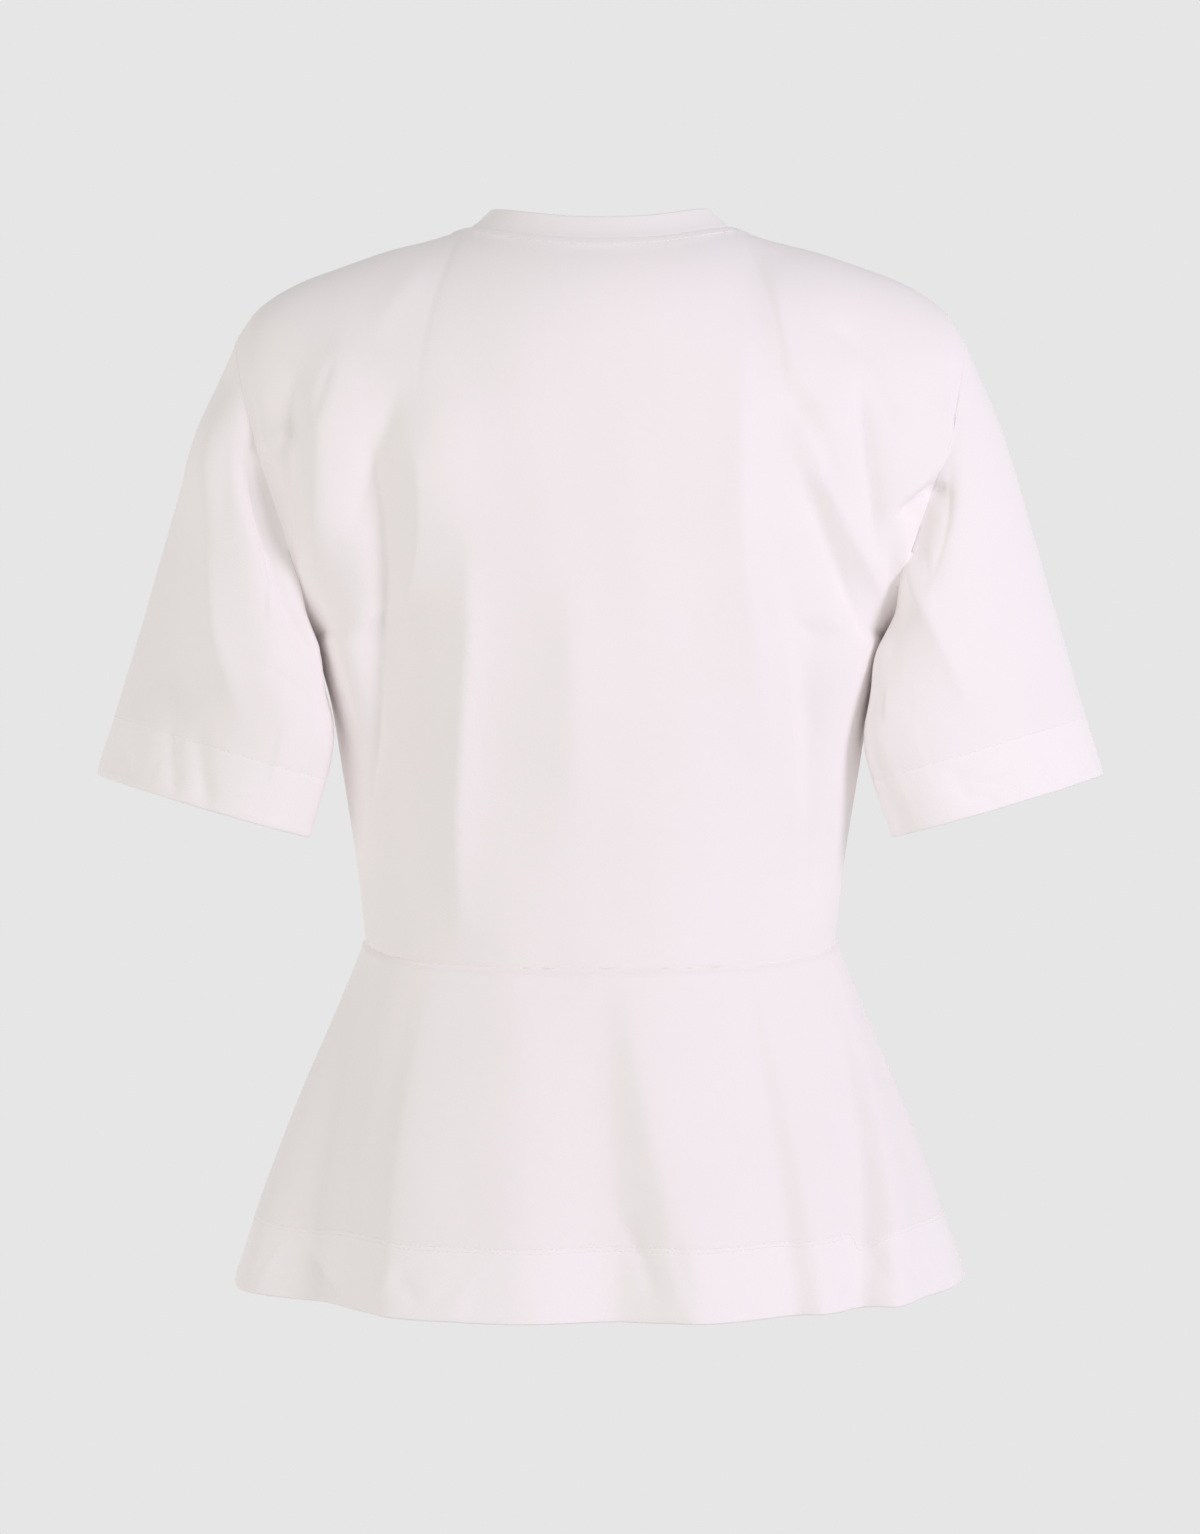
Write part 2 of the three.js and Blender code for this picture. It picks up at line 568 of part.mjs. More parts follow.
const backBodice = bodicePanel(BACK_SECTIONS, BACK_NECK, 1);
const frontBodice = bodicePanel(FRONT_SECTIONS, FRONT_NECK, -1);
const cut = [
  { name: "back_bodice", colour: COLOURS.panel, piece: backBodice },
  { name: "front_bodice", colour: COLOURS.panel, piece: frontBodice },
  { name: "left_sleeve", colour: COLOURS.sleeve, piece: sleeve(backBodice, frontBodice, 1) },
  { name: "right_sleeve", colour: COLOURS.sleeve, piece: sleeve(backBodice, frontBodice, -1) },
  { name: "neckband", colour: COLOURS.band, piece: neckband(backBodice, frontBodice) },
  { name: "back_peplum", colour: COLOURS.peplum, piece: peplumPanel(1) },
  { name: "front_peplum", colour: COLOURS.peplum, piece: peplumPanel(-1) },
];
const folded = fold(cut.map((entry) => entry.piece));
const finalNormals = sewNormals(folded);

const top = new THREE.Group();
cut.forEach((entry, k) => {
  const jersey = new THREE.MeshStandardMaterial({ color: entry.colour, roughness: 0.85, metalness: 0 });
  const mesh = new THREE.Mesh(wall(folded[k], finalNormals[k]), jersey);
  mesh.name = entry.name;
  top.add(mesh);
});

export default top;
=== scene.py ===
import math

import bpy
import numpy as np
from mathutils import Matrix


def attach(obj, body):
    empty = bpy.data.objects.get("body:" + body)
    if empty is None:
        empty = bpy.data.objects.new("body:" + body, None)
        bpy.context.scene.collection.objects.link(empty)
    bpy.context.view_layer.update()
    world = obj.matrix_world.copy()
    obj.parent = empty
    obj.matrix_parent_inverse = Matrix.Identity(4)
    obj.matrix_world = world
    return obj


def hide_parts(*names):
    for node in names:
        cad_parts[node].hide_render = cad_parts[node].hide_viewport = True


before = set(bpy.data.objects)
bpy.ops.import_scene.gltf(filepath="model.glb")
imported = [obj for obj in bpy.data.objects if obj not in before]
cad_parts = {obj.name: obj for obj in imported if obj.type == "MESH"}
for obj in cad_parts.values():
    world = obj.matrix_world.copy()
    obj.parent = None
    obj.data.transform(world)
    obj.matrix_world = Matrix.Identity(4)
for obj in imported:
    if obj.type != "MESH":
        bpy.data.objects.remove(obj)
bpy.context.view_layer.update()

# Back bodice
# The back is one piece of white cotton jersey, cut from the waist seam up to the neckline and the
# shoulder seams. Its sides follow the side seam to the underarm, and the armhole from there up.
MM = 0.001  # the cutting tables below are in millimetres
CLOTH = 1.0  # one layer of jersey
FINER = 6  # columns of faces here for each of the solid's, and rows likewise
COLUMNS = 36 * FINER
NECK_SHARE = 16 / 36  # the middle share of a panel's columns, which ends at the neckline
NECK_HALF = 76
NECK_CROWN = 13
BACK_NECK = dict(depth=62, drop=25, curl=2)
NECK_SPREAD = dict(turned=0.8, even=0.2)  # how columns spread along the neckline: by angle, and evenly
SAG = 1.5  # how late a seam's dip towards the middle begins, from the side
ARCH = 1.12  # how far the cloth rounds over from the last section to the top edge
UNDERARM = 4  # the section at which the armhole begins
JUST_BELOW = 0.05  # of a section, to see which way the cloth leaves the last one
SHOULDER_FACES = 6
SHOULDER_LINE = [
    dict(x=NECK_HALF, z=0),
    dict(x=97, z=-6.8),
    dict(x=123, z=-13.4),
    dict(x=148, z=-22),
    dict(x=174, z=-32),
    dict(x=194.5, z=-45.5),
    dict(x=206.6, z=-62),
]
BACK_SECTIONS = [  # x, y and z are the side's, full how far it stands out beside it
    dict(name="waist", x=133.8, y=0, z=-403, mid_y=84, mid_z=-417, faces=3),
    dict(name="midriff", x=138.8, y=0, z=-360, mid_y=87, mid_z=-369, full=3, faces=3),
    dict(name="ribs", x=147, y=0, z=-308, mid_y=94, mid_z=-316, full=7, faces=2),
    dict(name="side", x=153.8, y=0, z=-268, mid_y=100, mid_z=-276, full=11.5, faces=2),
    dict(name="underarm", x=162, y=0, z=-238, mid_y=103.5, mid_z=-240, full=15, faces=2),
    dict(name="armhole foot", x=163, y=28, z=-231, mid_y=105.5, mid_z=-217, full=7.5, faces=2),
    dict(name="armhole bend", x=166, y=46, z=-209, mid_y=106.5, mid_z=-194, full=2, faces=2),
    dict(name="shoulder blade", x=176, y=55, z=-178, mid_y=106, mid_z=-168, faces=2),
    dict(name="across back", x=188.5, y=54, z=-142, mid_y=104, mid_z=-140, faces=0),
]
SIDE_FULL = 0.5  # the share of a panel outside which it stands fuller than an oval, towards its side
FULL_CURL = 1.5


def curve(start, leave, end, arrive, s):
    rest = 1 - s
    return (
        start * (1 + 2 * s) * rest**2
        + leave * s * rest**2
        + end * s**2 * (3 - 2 * s)
        - arrive * s**2 * rest
    )


def smooth_line(keys, values, at):
    """Values between the keys on a smooth line, level where they turn or stand still."""
    at = np.asarray(at, float)
    spare = (1,) * (values.ndim - 1)
    steps = np.diff(values, axis=0) / np.diff(keys).reshape((-1,) + spare)
    slopes = np.empty_like(values)
    slopes[0], slopes[-1] = steps[0], steps[-1]
    slopes[1:-1] = (values[2:] - values[:-2]) / (keys[2:] - keys[:-2]).reshape((-1,) + spare)
    slopes[1:-1][steps[1:] * steps[:-1] <= 0] = 0
    direction = np.sign(keys[-1] - keys[0])
    i = np.clip(np.searchsorted(keys * direction, at * direction, side="right") - 1, 0, len(keys) - 2)
    width = (keys[i + 1] - keys[i]).reshape(i.shape + spare)
    s = (at - keys[i]).reshape(i.shape + spare) / width
    return curve(values[i], slopes[i] * width, values[i + 1], slopes[i + 1] * width, s)


def read_table(table, key, column, at):
    """A column of a cutting table as a smooth line."""
    keys, values = (np.array([row[name] for row in table], float) for name in (key, column))
    return smooth_line(keys, values, at)


def smoothstep(value, low, high):
    t = np.clip((value - low) / (high - low), 0, 1)
    return t * t * (3 - 2 * t)


def unit(vectors):
    length = np.linalg.norm(vectors, axis=-1, keepdims=True)
    return vectors / np.maximum(length, 1e-12)


def section_rows(sections, side, across, levels):
    """Rows of a panel, each an oval from side to side through its edge and its middle."""
    numbered = [{"full": 0, **row, "order": k} for k, row in enumerate(sections)]
    x, y, z, mid_y, mid_z, full = (
        read_table(numbered, "order", column, levels)[:, None]
        for column in ("x", "y", "z", "mid_y", "mid_z", "full")
    )
    span = np.arccos(y / mid_y)
    half_x = x / np.sin(span)
    lift = (1 - np.cos(across * math.pi / 2)) ** SAG
    toward_side = np.clip((np.abs(across) - SIDE_FULL) / (1 - SIDE_FULL), 0, 1)
    fuller = full * np.sin(math.pi * toward_side) ** FULL_CURL
    return np.stack(
        [
            half_x * np.sin(across * span),
            side * (mid_y * np.cos(across * span) + fuller),
            mid_z + (z - mid_z) * lift,
        ],
        axis=-1,
    )


def top_edge(neck, side, across):
    """The panel's top edge, shoulder seams and neckline, and the way the cloth passes over it."""
    place = np.abs(across) / NECK_SHARE
    at_neck = place < 1
    turned = np.sin(np.minimum(place, 1) * math.pi / 2)
    share = np.where(at_neck, NECK_SPREAD["turned"] * turned + NECK_SPREAD["even"] * place, 1)
    outward = (np.abs(across) - NECK_SHARE) / (1 - NECK_SHARE)
    x = np.where(at_neck, NECK_HALF * share, NECK_HALF + outward * (SHOULDER_LINE[-1]["x"] - NECK_HALF))
    y = np.where(at_neck, neck["depth"] * np.sqrt(np.maximum(1 - share**2, 0)), 0)
    inner = NECK_CROWN * (1 - (x / NECK_HALF) ** 2)
    outer = read_table(SHOULDER_LINE, "x", "z", np.maximum(x, NECK_HALF))
    back = y / neck["depth"]
    z = np.where(at_neck, inner, outer) - neck["drop"] * back ** neck["curl"]
    rise = neck["curl"] * neck["drop"] / neck["depth"] * back ** (neck["curl"] - 1)
    points = np.stack([np.sign(across) * x, side * y, z], axis=-1)
    heading = unit(np.stack([np.zeros_like(x), np.full_like(x, -side), rise], axis=-1))
    return points, heading


def bodice_panel(sections, neck, side):
    """A panel as rows of points from the waist up. Side 1 is the back, and -1 the front."""
    across = side * (1 - 2 * np.arange(COLUMNS + 1) / COLUMNS)
    levels = []
    for k, row in enumerate(sections[:-1]):
        count = row["faces"] * FINER
        levels += [k + step / count for step in range(count)]
    lower = section_rows(sections, side, across, np.array(levels))
    last = len(sections) - 1
    start, below = section_rows(sections, side, across, np.array([last, last - JUST_BELOW]))
    end, heading = top_edge(neck, side, across)
    reach = ARCH * np.linalg.norm(end - start, axis=-1, keepdims=True)
    leave = unit(start - below) * reach
    count = SHOULDER_FACES * FINER
    over = (np.arange(count + 1) / count)[:, None, None]
    upper = curve(start, leave, end, heading * reach, over)
    return np.concatenate([lower, upper])


def split_first(grid, shares):
    """Adds rows between the first two, at these shares of the way."""
    added = [grid[0] + (grid[1] - grid[0]) * share for share in shares]
    return np.concatenate([grid[:1], np.array(added), grid[1:]])


def split_last(grid, shares):
    return split_first(grid[::-1], shares)[::-1]


def split_sides(grid, shares):
    turned = split_last(split_first(grid.transpose(1, 0, 2), shares), shares)
    return turned.transpose(1, 0, 2)


SEAM_ROWS = (0.2, 0.45, 0.72)
NECK_ROWS = (0.12, 0.24, 0.36, 0.48, 0.6, 0.72, 0.84, 0.92)


def with_seam_rows(panel):
    """The panel with more rows and columns beside its seams, and most below the neckline."""
    finer = split_sides(split_first(panel, SEAM_ROWS), SEAM_ROWS)
    second = split_last(finer[:-1], NECK_ROWS[1::2])
    return np.concatenate([second, split_last(finer[-2:], NECK_ROWS)[1:]])


back_bodice = with_seam_rows(bodice_panel(BACK_SECTIONS, BACK_NECK, 1))

# Front bodice
# The front is cut like the back, with more depth over the bust and a lower neckline. The photo does
# not show it, so it is plain, and its armholes are cut a little further in near the shoulders.
FRONT_NECK = dict(depth=78, drop=93, curl=1.7)
FRONT_SECTIONS = [
    dict(name="waist", x=133.8, y=0, z=-403, mid_y=94, mid_z=-411, faces=3),
    dict(name="midriff", x=138.8, y=0, z=-360, mid_y=101, mid_z=-366, faces=3),
    dict(name="ribs", x=147, y=0, z=-308, mid_y=114, mid_z=-313, faces=2),
    dict(name="bust", x=153.8, y=0, z=-268, mid_y=122, mid_z=-273, faces=2),
    dict(name="underarm", x=162, y=0, z=-238, mid_y=123, mid_z=-243, faces=2),
    dict(name="armhole foot", x=164.5, y=27, z=-232, mid_y=120, mid_z=-222, faces=2),
    dict(name="armhole bend", x=168, y=42, z=-212, mid_y=115, mid_z=-200, faces=2),
    dict(name="chest", x=175, y=49, z=-180, mid_y=109, mid_z=-175, faces=2),
    dict(name="across chest", x=184, y=48, z=-144, mid_y=100, mid_z=-147, faces=0),
]
front_bodice = with_seam_rows(bodice_panel(FRONT_SECTIONS, FRONT_NECK, -1))

# Sleeves
# Each sleeve is one piece, wide and short, closed by a seam under the arm and set into the armhole.
# Its edge is turned up 34 mm inside and stitched down with one row.
CUFF_DEPTH = 34
HEM_CLOTH = 2.0  # two layers, at cuffs and hems
SLEEVE_FALL = 185
SLEEVE_RINGS = [  # laps are how far it laps over the side of the back, on the left and the right
    dict(name="crown", along=0.18, outer=(228, -3, -112), inner=(159.8, 24, -251), half_y=55, laps=(9, 11)),
    dict(name="high", along=0.38, outer=(246.5, -9, -170), inner=(153.4, 30, -266), half_y=53, laps=(4, 8)),
    dict(name="arm", along=0.66, outer=(268, -18, -241), inner=(147.6, 36, -289), half_y=50, laps=(1, 5)),
    dict(name="cuff", along=1, outer=(289.3, -24, -309), inner=(163.6, 26, -345), half_y=52, laps=(0, 0)),
]
LAP = dict(turn=32, width=20)  # where round the sleeve it laps over the back's side, in degrees
SLEEVE_ROWS_APART = 2.6
STITCHED_BAND = dict(half=4, rows=11)  # the rows close together about a stitched line


def rows_to_hem(fall, hem, spacing):
    """Places down a piece, 1 at its hem: close together about the stitched line, wider elsewhere."""
    half = STITCHED_BAND["half"]
    low, high = fall - hem + half, fall - hem - half
    below = np.linspace(fall, low, max(2, round((hem - half) / spacing)), endpoint=False)
    about = np.linspace(low, high, STITCHED_BAND["rows"], endpoint=False)
    above = np.linspace(high, 0, round(high / spacing) + 1)
    return np.concatenate([below, about, above]) / fall


UNDERARM_ROW = FINER * sum(row["faces"] for row in BACK_SECTIONS[:UNDERARM]) + len(SEAM_ROWS)


def armhole(side):
    back_edge = back_bodice[UNDERARM_ROW:, 0 if side == 1 else -1]
    front_edge = front_bodice[UNDERARM_ROW:, -1 if side == 1 else 0]
    up, down = (front_edge, back_edge) if side == 1 else (back_edge, front_edge)
    return np.concatenate([up, down[1:-1][::-1]])


def sleeve(side):
    loop = armhole(side)
    turn = 2 * math.pi * np.arange(len(loop)) / len(loop)
    out = (1 - np.cos(turn)) / 2
    behind = np.degrees(2 * math.pi - turn if side == 1 else turn)
    lap = np.exp(-(((behind - LAP["turn"]) / LAP["width"]) ** 2))
    stations = [loop]
    for ring in SLEEVE_RINGS:
        inner, outer = np.array(ring["inner"], float), np.array(ring["outer"], float)
        x, y, z = (inner + (outer - inner) * out[:, None]).T
        x = side * (x - ring["laps"][0 if side == 1 else 1] * lap)
        stations.append(np.stack([x, y - side * ring["half_y"] * np.sin(turn), z], axis=-1))
    knots = np.array([0] + [ring["along"] for ring in SLEEVE_RINGS], float)
    return smooth_line(knots, np.array(stations), rows_to_hem(SLEEVE_FALL, CUFF_DEPTH, SLEEVE_ROWS_APART))


left_sleeve = split_last(sleeve(1), SEAM_ROWS)
right_sleeve = split_last(sleeve(-1), SEAM_ROWS)

# Neckband
# A strip of the same jersey, folded in two along its top, stands 16 to 17 mm tall round the neckline
# and leans in towards the neck. It is sewn on stretched, so it lies smooth.
BAND_CLOTH = 2.2
BAND_LEAN = 0.84
BAND_RISE = dict(side=9.8, back=12.8, front=12.4)
BAND_CENTRE_Y = -8
BAND_ROWS = 17
BAND_CURL = dict(lean=0.9, rise=1.15)


def neckband():
    first = round((1 - NECK_SHARE) / 2 * COLUMNS) + len(SEAM_ROWS)
    last = back_bodice.shape[1] - 1 - first
    seam = np.concatenate([back_bodice[-1, first : last + 1], front_bodice[-1, first + 1 : last]])
    back = seam[:, 1] > 0
    depth = np.where(back, BACK_NECK["depth"], FRONT_NECK["depth"])
    end = np.where(back, BAND_RISE["back"], BAND_RISE["front"])
    rise = BAND_RISE["side"] + (end - BAND_RISE["side"]) * np.abs(seam[:, 1]) / depth
    rows = []
    for place in np.linspace(0, 1, BAND_ROWS):
        lean = 1 + (BAND_LEAN - 1) * place ** BAND_CURL["lean"]
        x = seam[:, 0] * lean
        y = BAND_CENTRE_Y + (seam[:, 1] - BAND_CENTRE_Y) * lean
        rows.append(np.stack([x, y, seam[:, 2] + rise * place ** BAND_CURL["rise"]], axis=-1))
    return np.array(rows)


band = split_first(neckband(), SEAM_ROWS)

# Peplum
# Two flared panels hang from the waist seam and are joined at the sides. The hem is turned up 39 mm
# inside and held by two rows of stitches, and the flare falls into uneven flutes.
HEM_DEPTH = 39
PEPLUM_FALL = 194
PEPLUM_ROWS_APART = 2.8
FLUTE_START = 0.85  # how early the flutes open below the waist
FLUTE_FADE = 0.12  # the share of a panel beside its side seam over which they die out
PEPLUM_SECTIONS = [
    dict(name="waist", along=0, side_z=-403, back_z=-417, front_z=-411, half_x=133.8, back=84, front=94),
    dict(name="hip", along=0.25, side_z=-450, back_z=-464, front_z=-458, half_x=153, back=101, front=109),
    dict(name="flare", along=0.62, side_z=-520, back_z=-533, front_z=-529, half_x=182, back=122,
         front=127),
    dict(name="hem", along=1, side_z=-593, back_z=-604.5, front_z=-602, half_x=207.3, back=138,
         front=141),
]
FLUTES = [
    dict(name="left side roll", waist=88, hem=69, left=10, right=6, out=6),
    dict(name="left hollow", waist=72, hem=52, left=7, right=10, out=-14),
    dict(name="left corner", waist=43, hem=32, left=4.5, right=11, out=7.5),
    dict(name="back roll", waist=20, hem=13, left=15, right=8, out=7.5),
    dict(name="back hollow", waist=0, hem=-2, left=8, right=5, out=-9.5),
    dict(name="back corner", waist=-6, hem=-14.5, left=4, right=10, out=9),
    dict(name="right hollow", waist=-36, hem=-31.5, left=8, right=2.2, out=-5.5),
    dict(name="right roll", waist=-40, hem=-35, left=2.2, right=9, out=4),
    dict(name="corner hollow", waist=-70, hem=-45.5, left=7, right=1.8, out=-7.5),
    dict(name="corner roll", waist=-74, hem=-48.5, left=1.8, right=9, out=8),
    dict(name="right side hollow", waist=-88, hem=-62, left=7, right=7, out=-2),
    dict(name="left front hollow", waist=112, hem=112, left=6, right=9, out=-7),
    dict(name="left front roll", waist=128, hem=130, left=9, right=8, out=7),
    dict(name="left middle hollow", waist=150, hem=151, left=5, right=8, out=-8),
    dict(name="front roll", waist=172, hem=174, left=11, right=9, out=6),
    dict(name="right middle hollow", waist=197, hem=199, left=8, right=5, out=-8),
    dict(name="right front roll", waist=216, hem=219, left=8, right=10, out=7),
    dict(name="right front hollow", waist=237, hem=239, left=6, right=8, out=-7),
]


def flute_height(degrees, place):
    out = 0
    for flute in FLUTES:
        middle = flute["waist"] + (flute["hem"] - flute["waist"]) * place
        away = (degrees - middle + 180) % 360 - 180
        width = np.where(away > 0, flute["left"], flute["right"])
        out = out + flute["out"] * np.exp(-((away / width) ** 2))
    return out * place**FLUTE_START


def peplum_panel(side):
    places = rows_to_hem(PEPLUM_FALL, HEM_DEPTH, PEPLUM_ROWS_APART)[:, None]
    across = side * (1 - 2 * np.arange(COLUMNS + 1) / COLUMNS)[None, :]
    face = "back" if side == 1 else "front"
    half_x, mid_y, mid_z, side_z = (
        read_table(PEPLUM_SECTIONS, "along", column, places)
        for column in ("half_x", face, face + "_z", "side_z")
    )
    angle = across * math.pi / 2
    degrees = across * 90 if side == 1 else 180 - across * 90
    out = flute_height(degrees, places) * smoothstep(1 - np.abs(across), 0, FLUTE_FADE)
    lift = (1 - np.cos(angle)) ** (SAG - (SAG - 1) * places)
    return np.stack(
        [
            (half_x + out) * np.sin(angle),
            side * (mid_y + out) * np.cos(angle),
            mid_z + (side_z - mid_z) * lift,
        ],
        axis=-1,
    )


def with_peplum_seams(panel):
    return split_last(split_sides(panel, SEAM_ROWS), SEAM_ROWS)


back_peplum = with_peplum_seams(peplum_panel(1))
front_peplum = with_peplum_seams(peplum_panel(-1))

# Folds
# Jersey hung on shoulders drags from the blades to the armholes and down the sides. Each row is one
# fold as it is seen from behind, or from in front: its width towards the wearer's left and right, how
# round its crest is, how far it stands out from the cloth, and the points that it runs through.
SEEN_FROM = dict(distance=2400, height=-306)
FOLD_FADE = 22  # the depth over which folds die out towards the side seams
FOLD_STEPS = 8  # short straight runs between two points of a fold
FOLD_REACH = dict(widths=6, lengths=0.3)  # how far from a fold the cloth is still moved by it
FOLD_RUNS_ON = dict(start=-3, end=6)  # how many short runs it is followed past its two ends
FOLD_ENDS = dict(none=-0.15, full=0.25)  # the shares of its length between which it rises
BACK_FOLDS = [
    dict(name="left neck crease", left=10, right=8, edge=5, out=2.4,
         path=[(101, -20), (110, -33), (119, -44), (128, -60)]),
    dict(name="left blade hollow", left=9, right=8, edge=3, out=-5.1,
         path=[(117, -95), (126, -118), (134, -140), (141, -168)]),
    dict(name="left blade roll", left=9, right=13, edge=6, out=6.6,
         path=[(148, -68), (159, -108), (159, -150), (160, -190)]),
    dict(name="left blade nick", left=4, right=4, edge=1.2, out=-2.4,
         path=[(152, -76), (157, -92), (162, -108)]),
    dict(name="left armhole drag", left=9, right=6, edge=2, out=-6.3,
         path=[(176, -88), (177, -112), (180, -136), (179, -160), (174, -186)]),
    dict(name="left armhole loop", left=7, right=5, edge=1.5, out=3.9,
         path=[(198, -121), (188, -122), (179, -113)]),
    dict(name="left armhole crease", left=6, right=5, edge=1.2, out=-3.7,
         path=[(203, -85), (199, -110), (194, -130), (186, -152), (178, -172), (171, -187)]),
    dict(name="left underarm drag", left=7, right=8, edge=2.5, out=-7.3,
         path=[(206, -120), (199, -146), (190, -172), (182, -197), (172, -222), (163, -243)]),
    dict(name="left armhole step", left=5, right=13, edge=1.2, out=3.3,
         path=[(187, -150), (180, -170), (171, -190), (167, -215), (162, -240)]),
    dict(name="left side hollow", left=9, right=15, edge=1.6, out=-10,
         path=[(133, -125), (129, -150), (127, -175), (126, -200), (126, -225), (128, -255), (131, -285),
               (134, -335)]),
    dict(name="left blade ridge", left=8, right=14, edge=1.5, out=3,
         path=[(107, -120), (103, -150), (104, -175), (108, -200), (114, -218)]),
    dict(name="left back roll", left=16, right=10, edge=3, out=6.2,
         path=[(76, -190), (74, -230), (76, -262), (78, -300), (80, -345), (80, -395)]),
    dict(name="middle back roll", left=12, right=14, edge=6, out=2.4,
         path=[(16, -205), (16, -260), (13, -330)]),
    dict(name="left upper roll", left=18, right=20, edge=14, out=3.2,
         path=[(97, -95), (95, -130), (92, -175)]),
    dict(name="right back roll", left=18, right=12, edge=4, out=4.8,
         path=[(-80, -70), (-80, -130), (-82, -190), (-88, -240), (-95, -290)]),
    dict(name="right side roll", left=9, right=9, edge=2, out=4.8,
         path=[(-96, -195), (-102, -235), (-106, -270), (-109, -305), (-113, -350)]),
    dict(name="right side hollow", left=10, right=12, edge=5, out=-6.2,
         path=[(-117, -250), (-121, -300), (-121, -350), (-118, -395)]),
    dict(name="right neck crease", left=8, right=20, edge=4, out=5.5,
         path=[(-97, -22), (-100, -42), (-104, -62), (-112, -84), (-124, -103), (-140, -122)]),
    dict(name="right blade hollow", left=8, right=7, edge=3, out=-4.6,
         path=[(-108, -93), (-122, -113), (-138, -140)]),
    dict(name="right drag roll", left=6, right=7, edge=2, out=5.5,
         path=[(-112, -112), (-122, -135), (-135, -160), (-148, -185), (-158, -205)]),
    dict(name="right drag hollow", left=9, right=6, edge=2, out=-5.1,
         path=[(-114, -138), (-124, -160), (-132, -182), (-143, -208), (-150, -228)]),
    dict(name="right armhole drag", left=8, right=6, edge=2, out=-6.6,
         path=[(-147, -88), (-151, -106), (-154, -126), (-157, -150), (-158, -178)]),
    dict(name="right blade crease", left=5, right=6, edge=1.5, out=-2.6,
         path=[(-132, -55), (-148, -68), (-160, -90), (-170, -115)]),
    dict(name="right armhole loop", left=8, right=4, edge=1.5, out=4.9,
         path=[(-197, -98), (-196, -124), (-186, -140), (-173, -152), (-164, -162)]),
    dict(name="right loop hollow", left=3, right=9, edge=1.5, out=-4.9,
         path=[(-196, -144), (-184, -151), (-171, -163)]),
    dict(name="right underarm hollow", left=4, right=6, edge=2, out=-2,
         path=[(-165, -172), (-166, -200), (-167, -225), (-163, -250)]),
    dict(name="right sleeve roll", left=7, right=8, edge=2, out=4.4,
         path=[(-167, -164), (-172, -180), (-179, -203), (-187, -222), (-197, -243), (-210, -272)]),
    dict(name="right sleeve crease", left=6, right=6, edge=1.5, out=-3.8,
         path=[(-199, -132), (-198, -160), (-193, -185), (-184, -205)]),
    dict(name="right sleeve nick", left=5, right=5, edge=2, out=-2.4,
         path=[(-184, -158), (-181, -176), (-181, -194)]),
    dict(name="left sleeve roll", left=13, right=12, edge=2.5, out=7.8,
         path=[(218, -100), (222, -140), (222, -175), (220, -205), (216, -238), (206, -272)]),
    dict(name="left sleeve hollow", left=12, right=12, edge=6, out=-5.9,
         path=[(231, -150), (240, -200), (244, -245), (244, -285)]),
    dict(name="left sleeve crease", left=4, right=4, edge=1.5, out=-1.5,
         path=[(213, -118), (214, -145), (213, -168)]),
    dict(name="left elbow crease", left=4, right=4, edge=2, out=-1.5,
         path=[(190, -250), (178, -258), (163, -267)]),
    dict(name="left cuff crease", left=4, right=4, edge=1.5, out=-2.6,
         path=[(246, -284), (245, -300), (243, -322)]),
    dict(name="left cuff hollow", left=6, right=5, edge=2, out=-2.9,
         path=[(230, -284), (228, -305), (224, -330)]),
    dict(name="left cuff corner", left=5, right=5, edge=2, out=-1.8,
         path=[(278, -279), (273, -296), (268, -314)]),
    dict(name="right cuff crease", left=3, right=4, edge=1.2, out=-1.8,
         path=[(-198, -317), (-212, -322), (-229, -327)]),
    dict(name="right cuff upper crease", left=4, right=4, edge=1.5, out=-1.3,
         path=[(-196, -309), (-214, -314), (-236, -317)]),
    dict(name="right cuff corner", left=3, right=3, edge=1.2, out=-1.6,
         path=[(-274, -303), (-282, -307), (-289, -309)]),
    dict(name="right cuff middle", left=3, right=4, edge=1.4, out=-1.5,
         path=[(-249, -303), (-257, -311), (-263, -318)]),
    dict(name="left hem crease", left=3, right=4, edge=1, out=-2,
         path=[(168, -580), (160, -594), (148, -610)]),
    dict(name="left hem nick", left=3, right=3, edge=1, out=-1.5,
         path=[(117, -594), (110, -604), (103, -613)]),
    dict(name="middle hem crease", left=4, right=5, edge=1.2, out=-2.2,
         path=[(-10, -562), (-22, -585), (-30, -608)]),
    dict(name="middle hem nick", left=4, right=4, edge=1, out=-1.8,
         path=[(-41, -572), (-46, -592), (-52, -612)]),
    dict(name="right hem crease", left=4, right=3, edge=1, out=-1.9,
         path=[(-152, -576), (-160, -592), (-172, -606)]),
    dict(name="right hem nick", left=3, right=3, edge=1, out=-1.4,
         path=[(-162, -570), (-171, -584), (-181, -596)]),
]
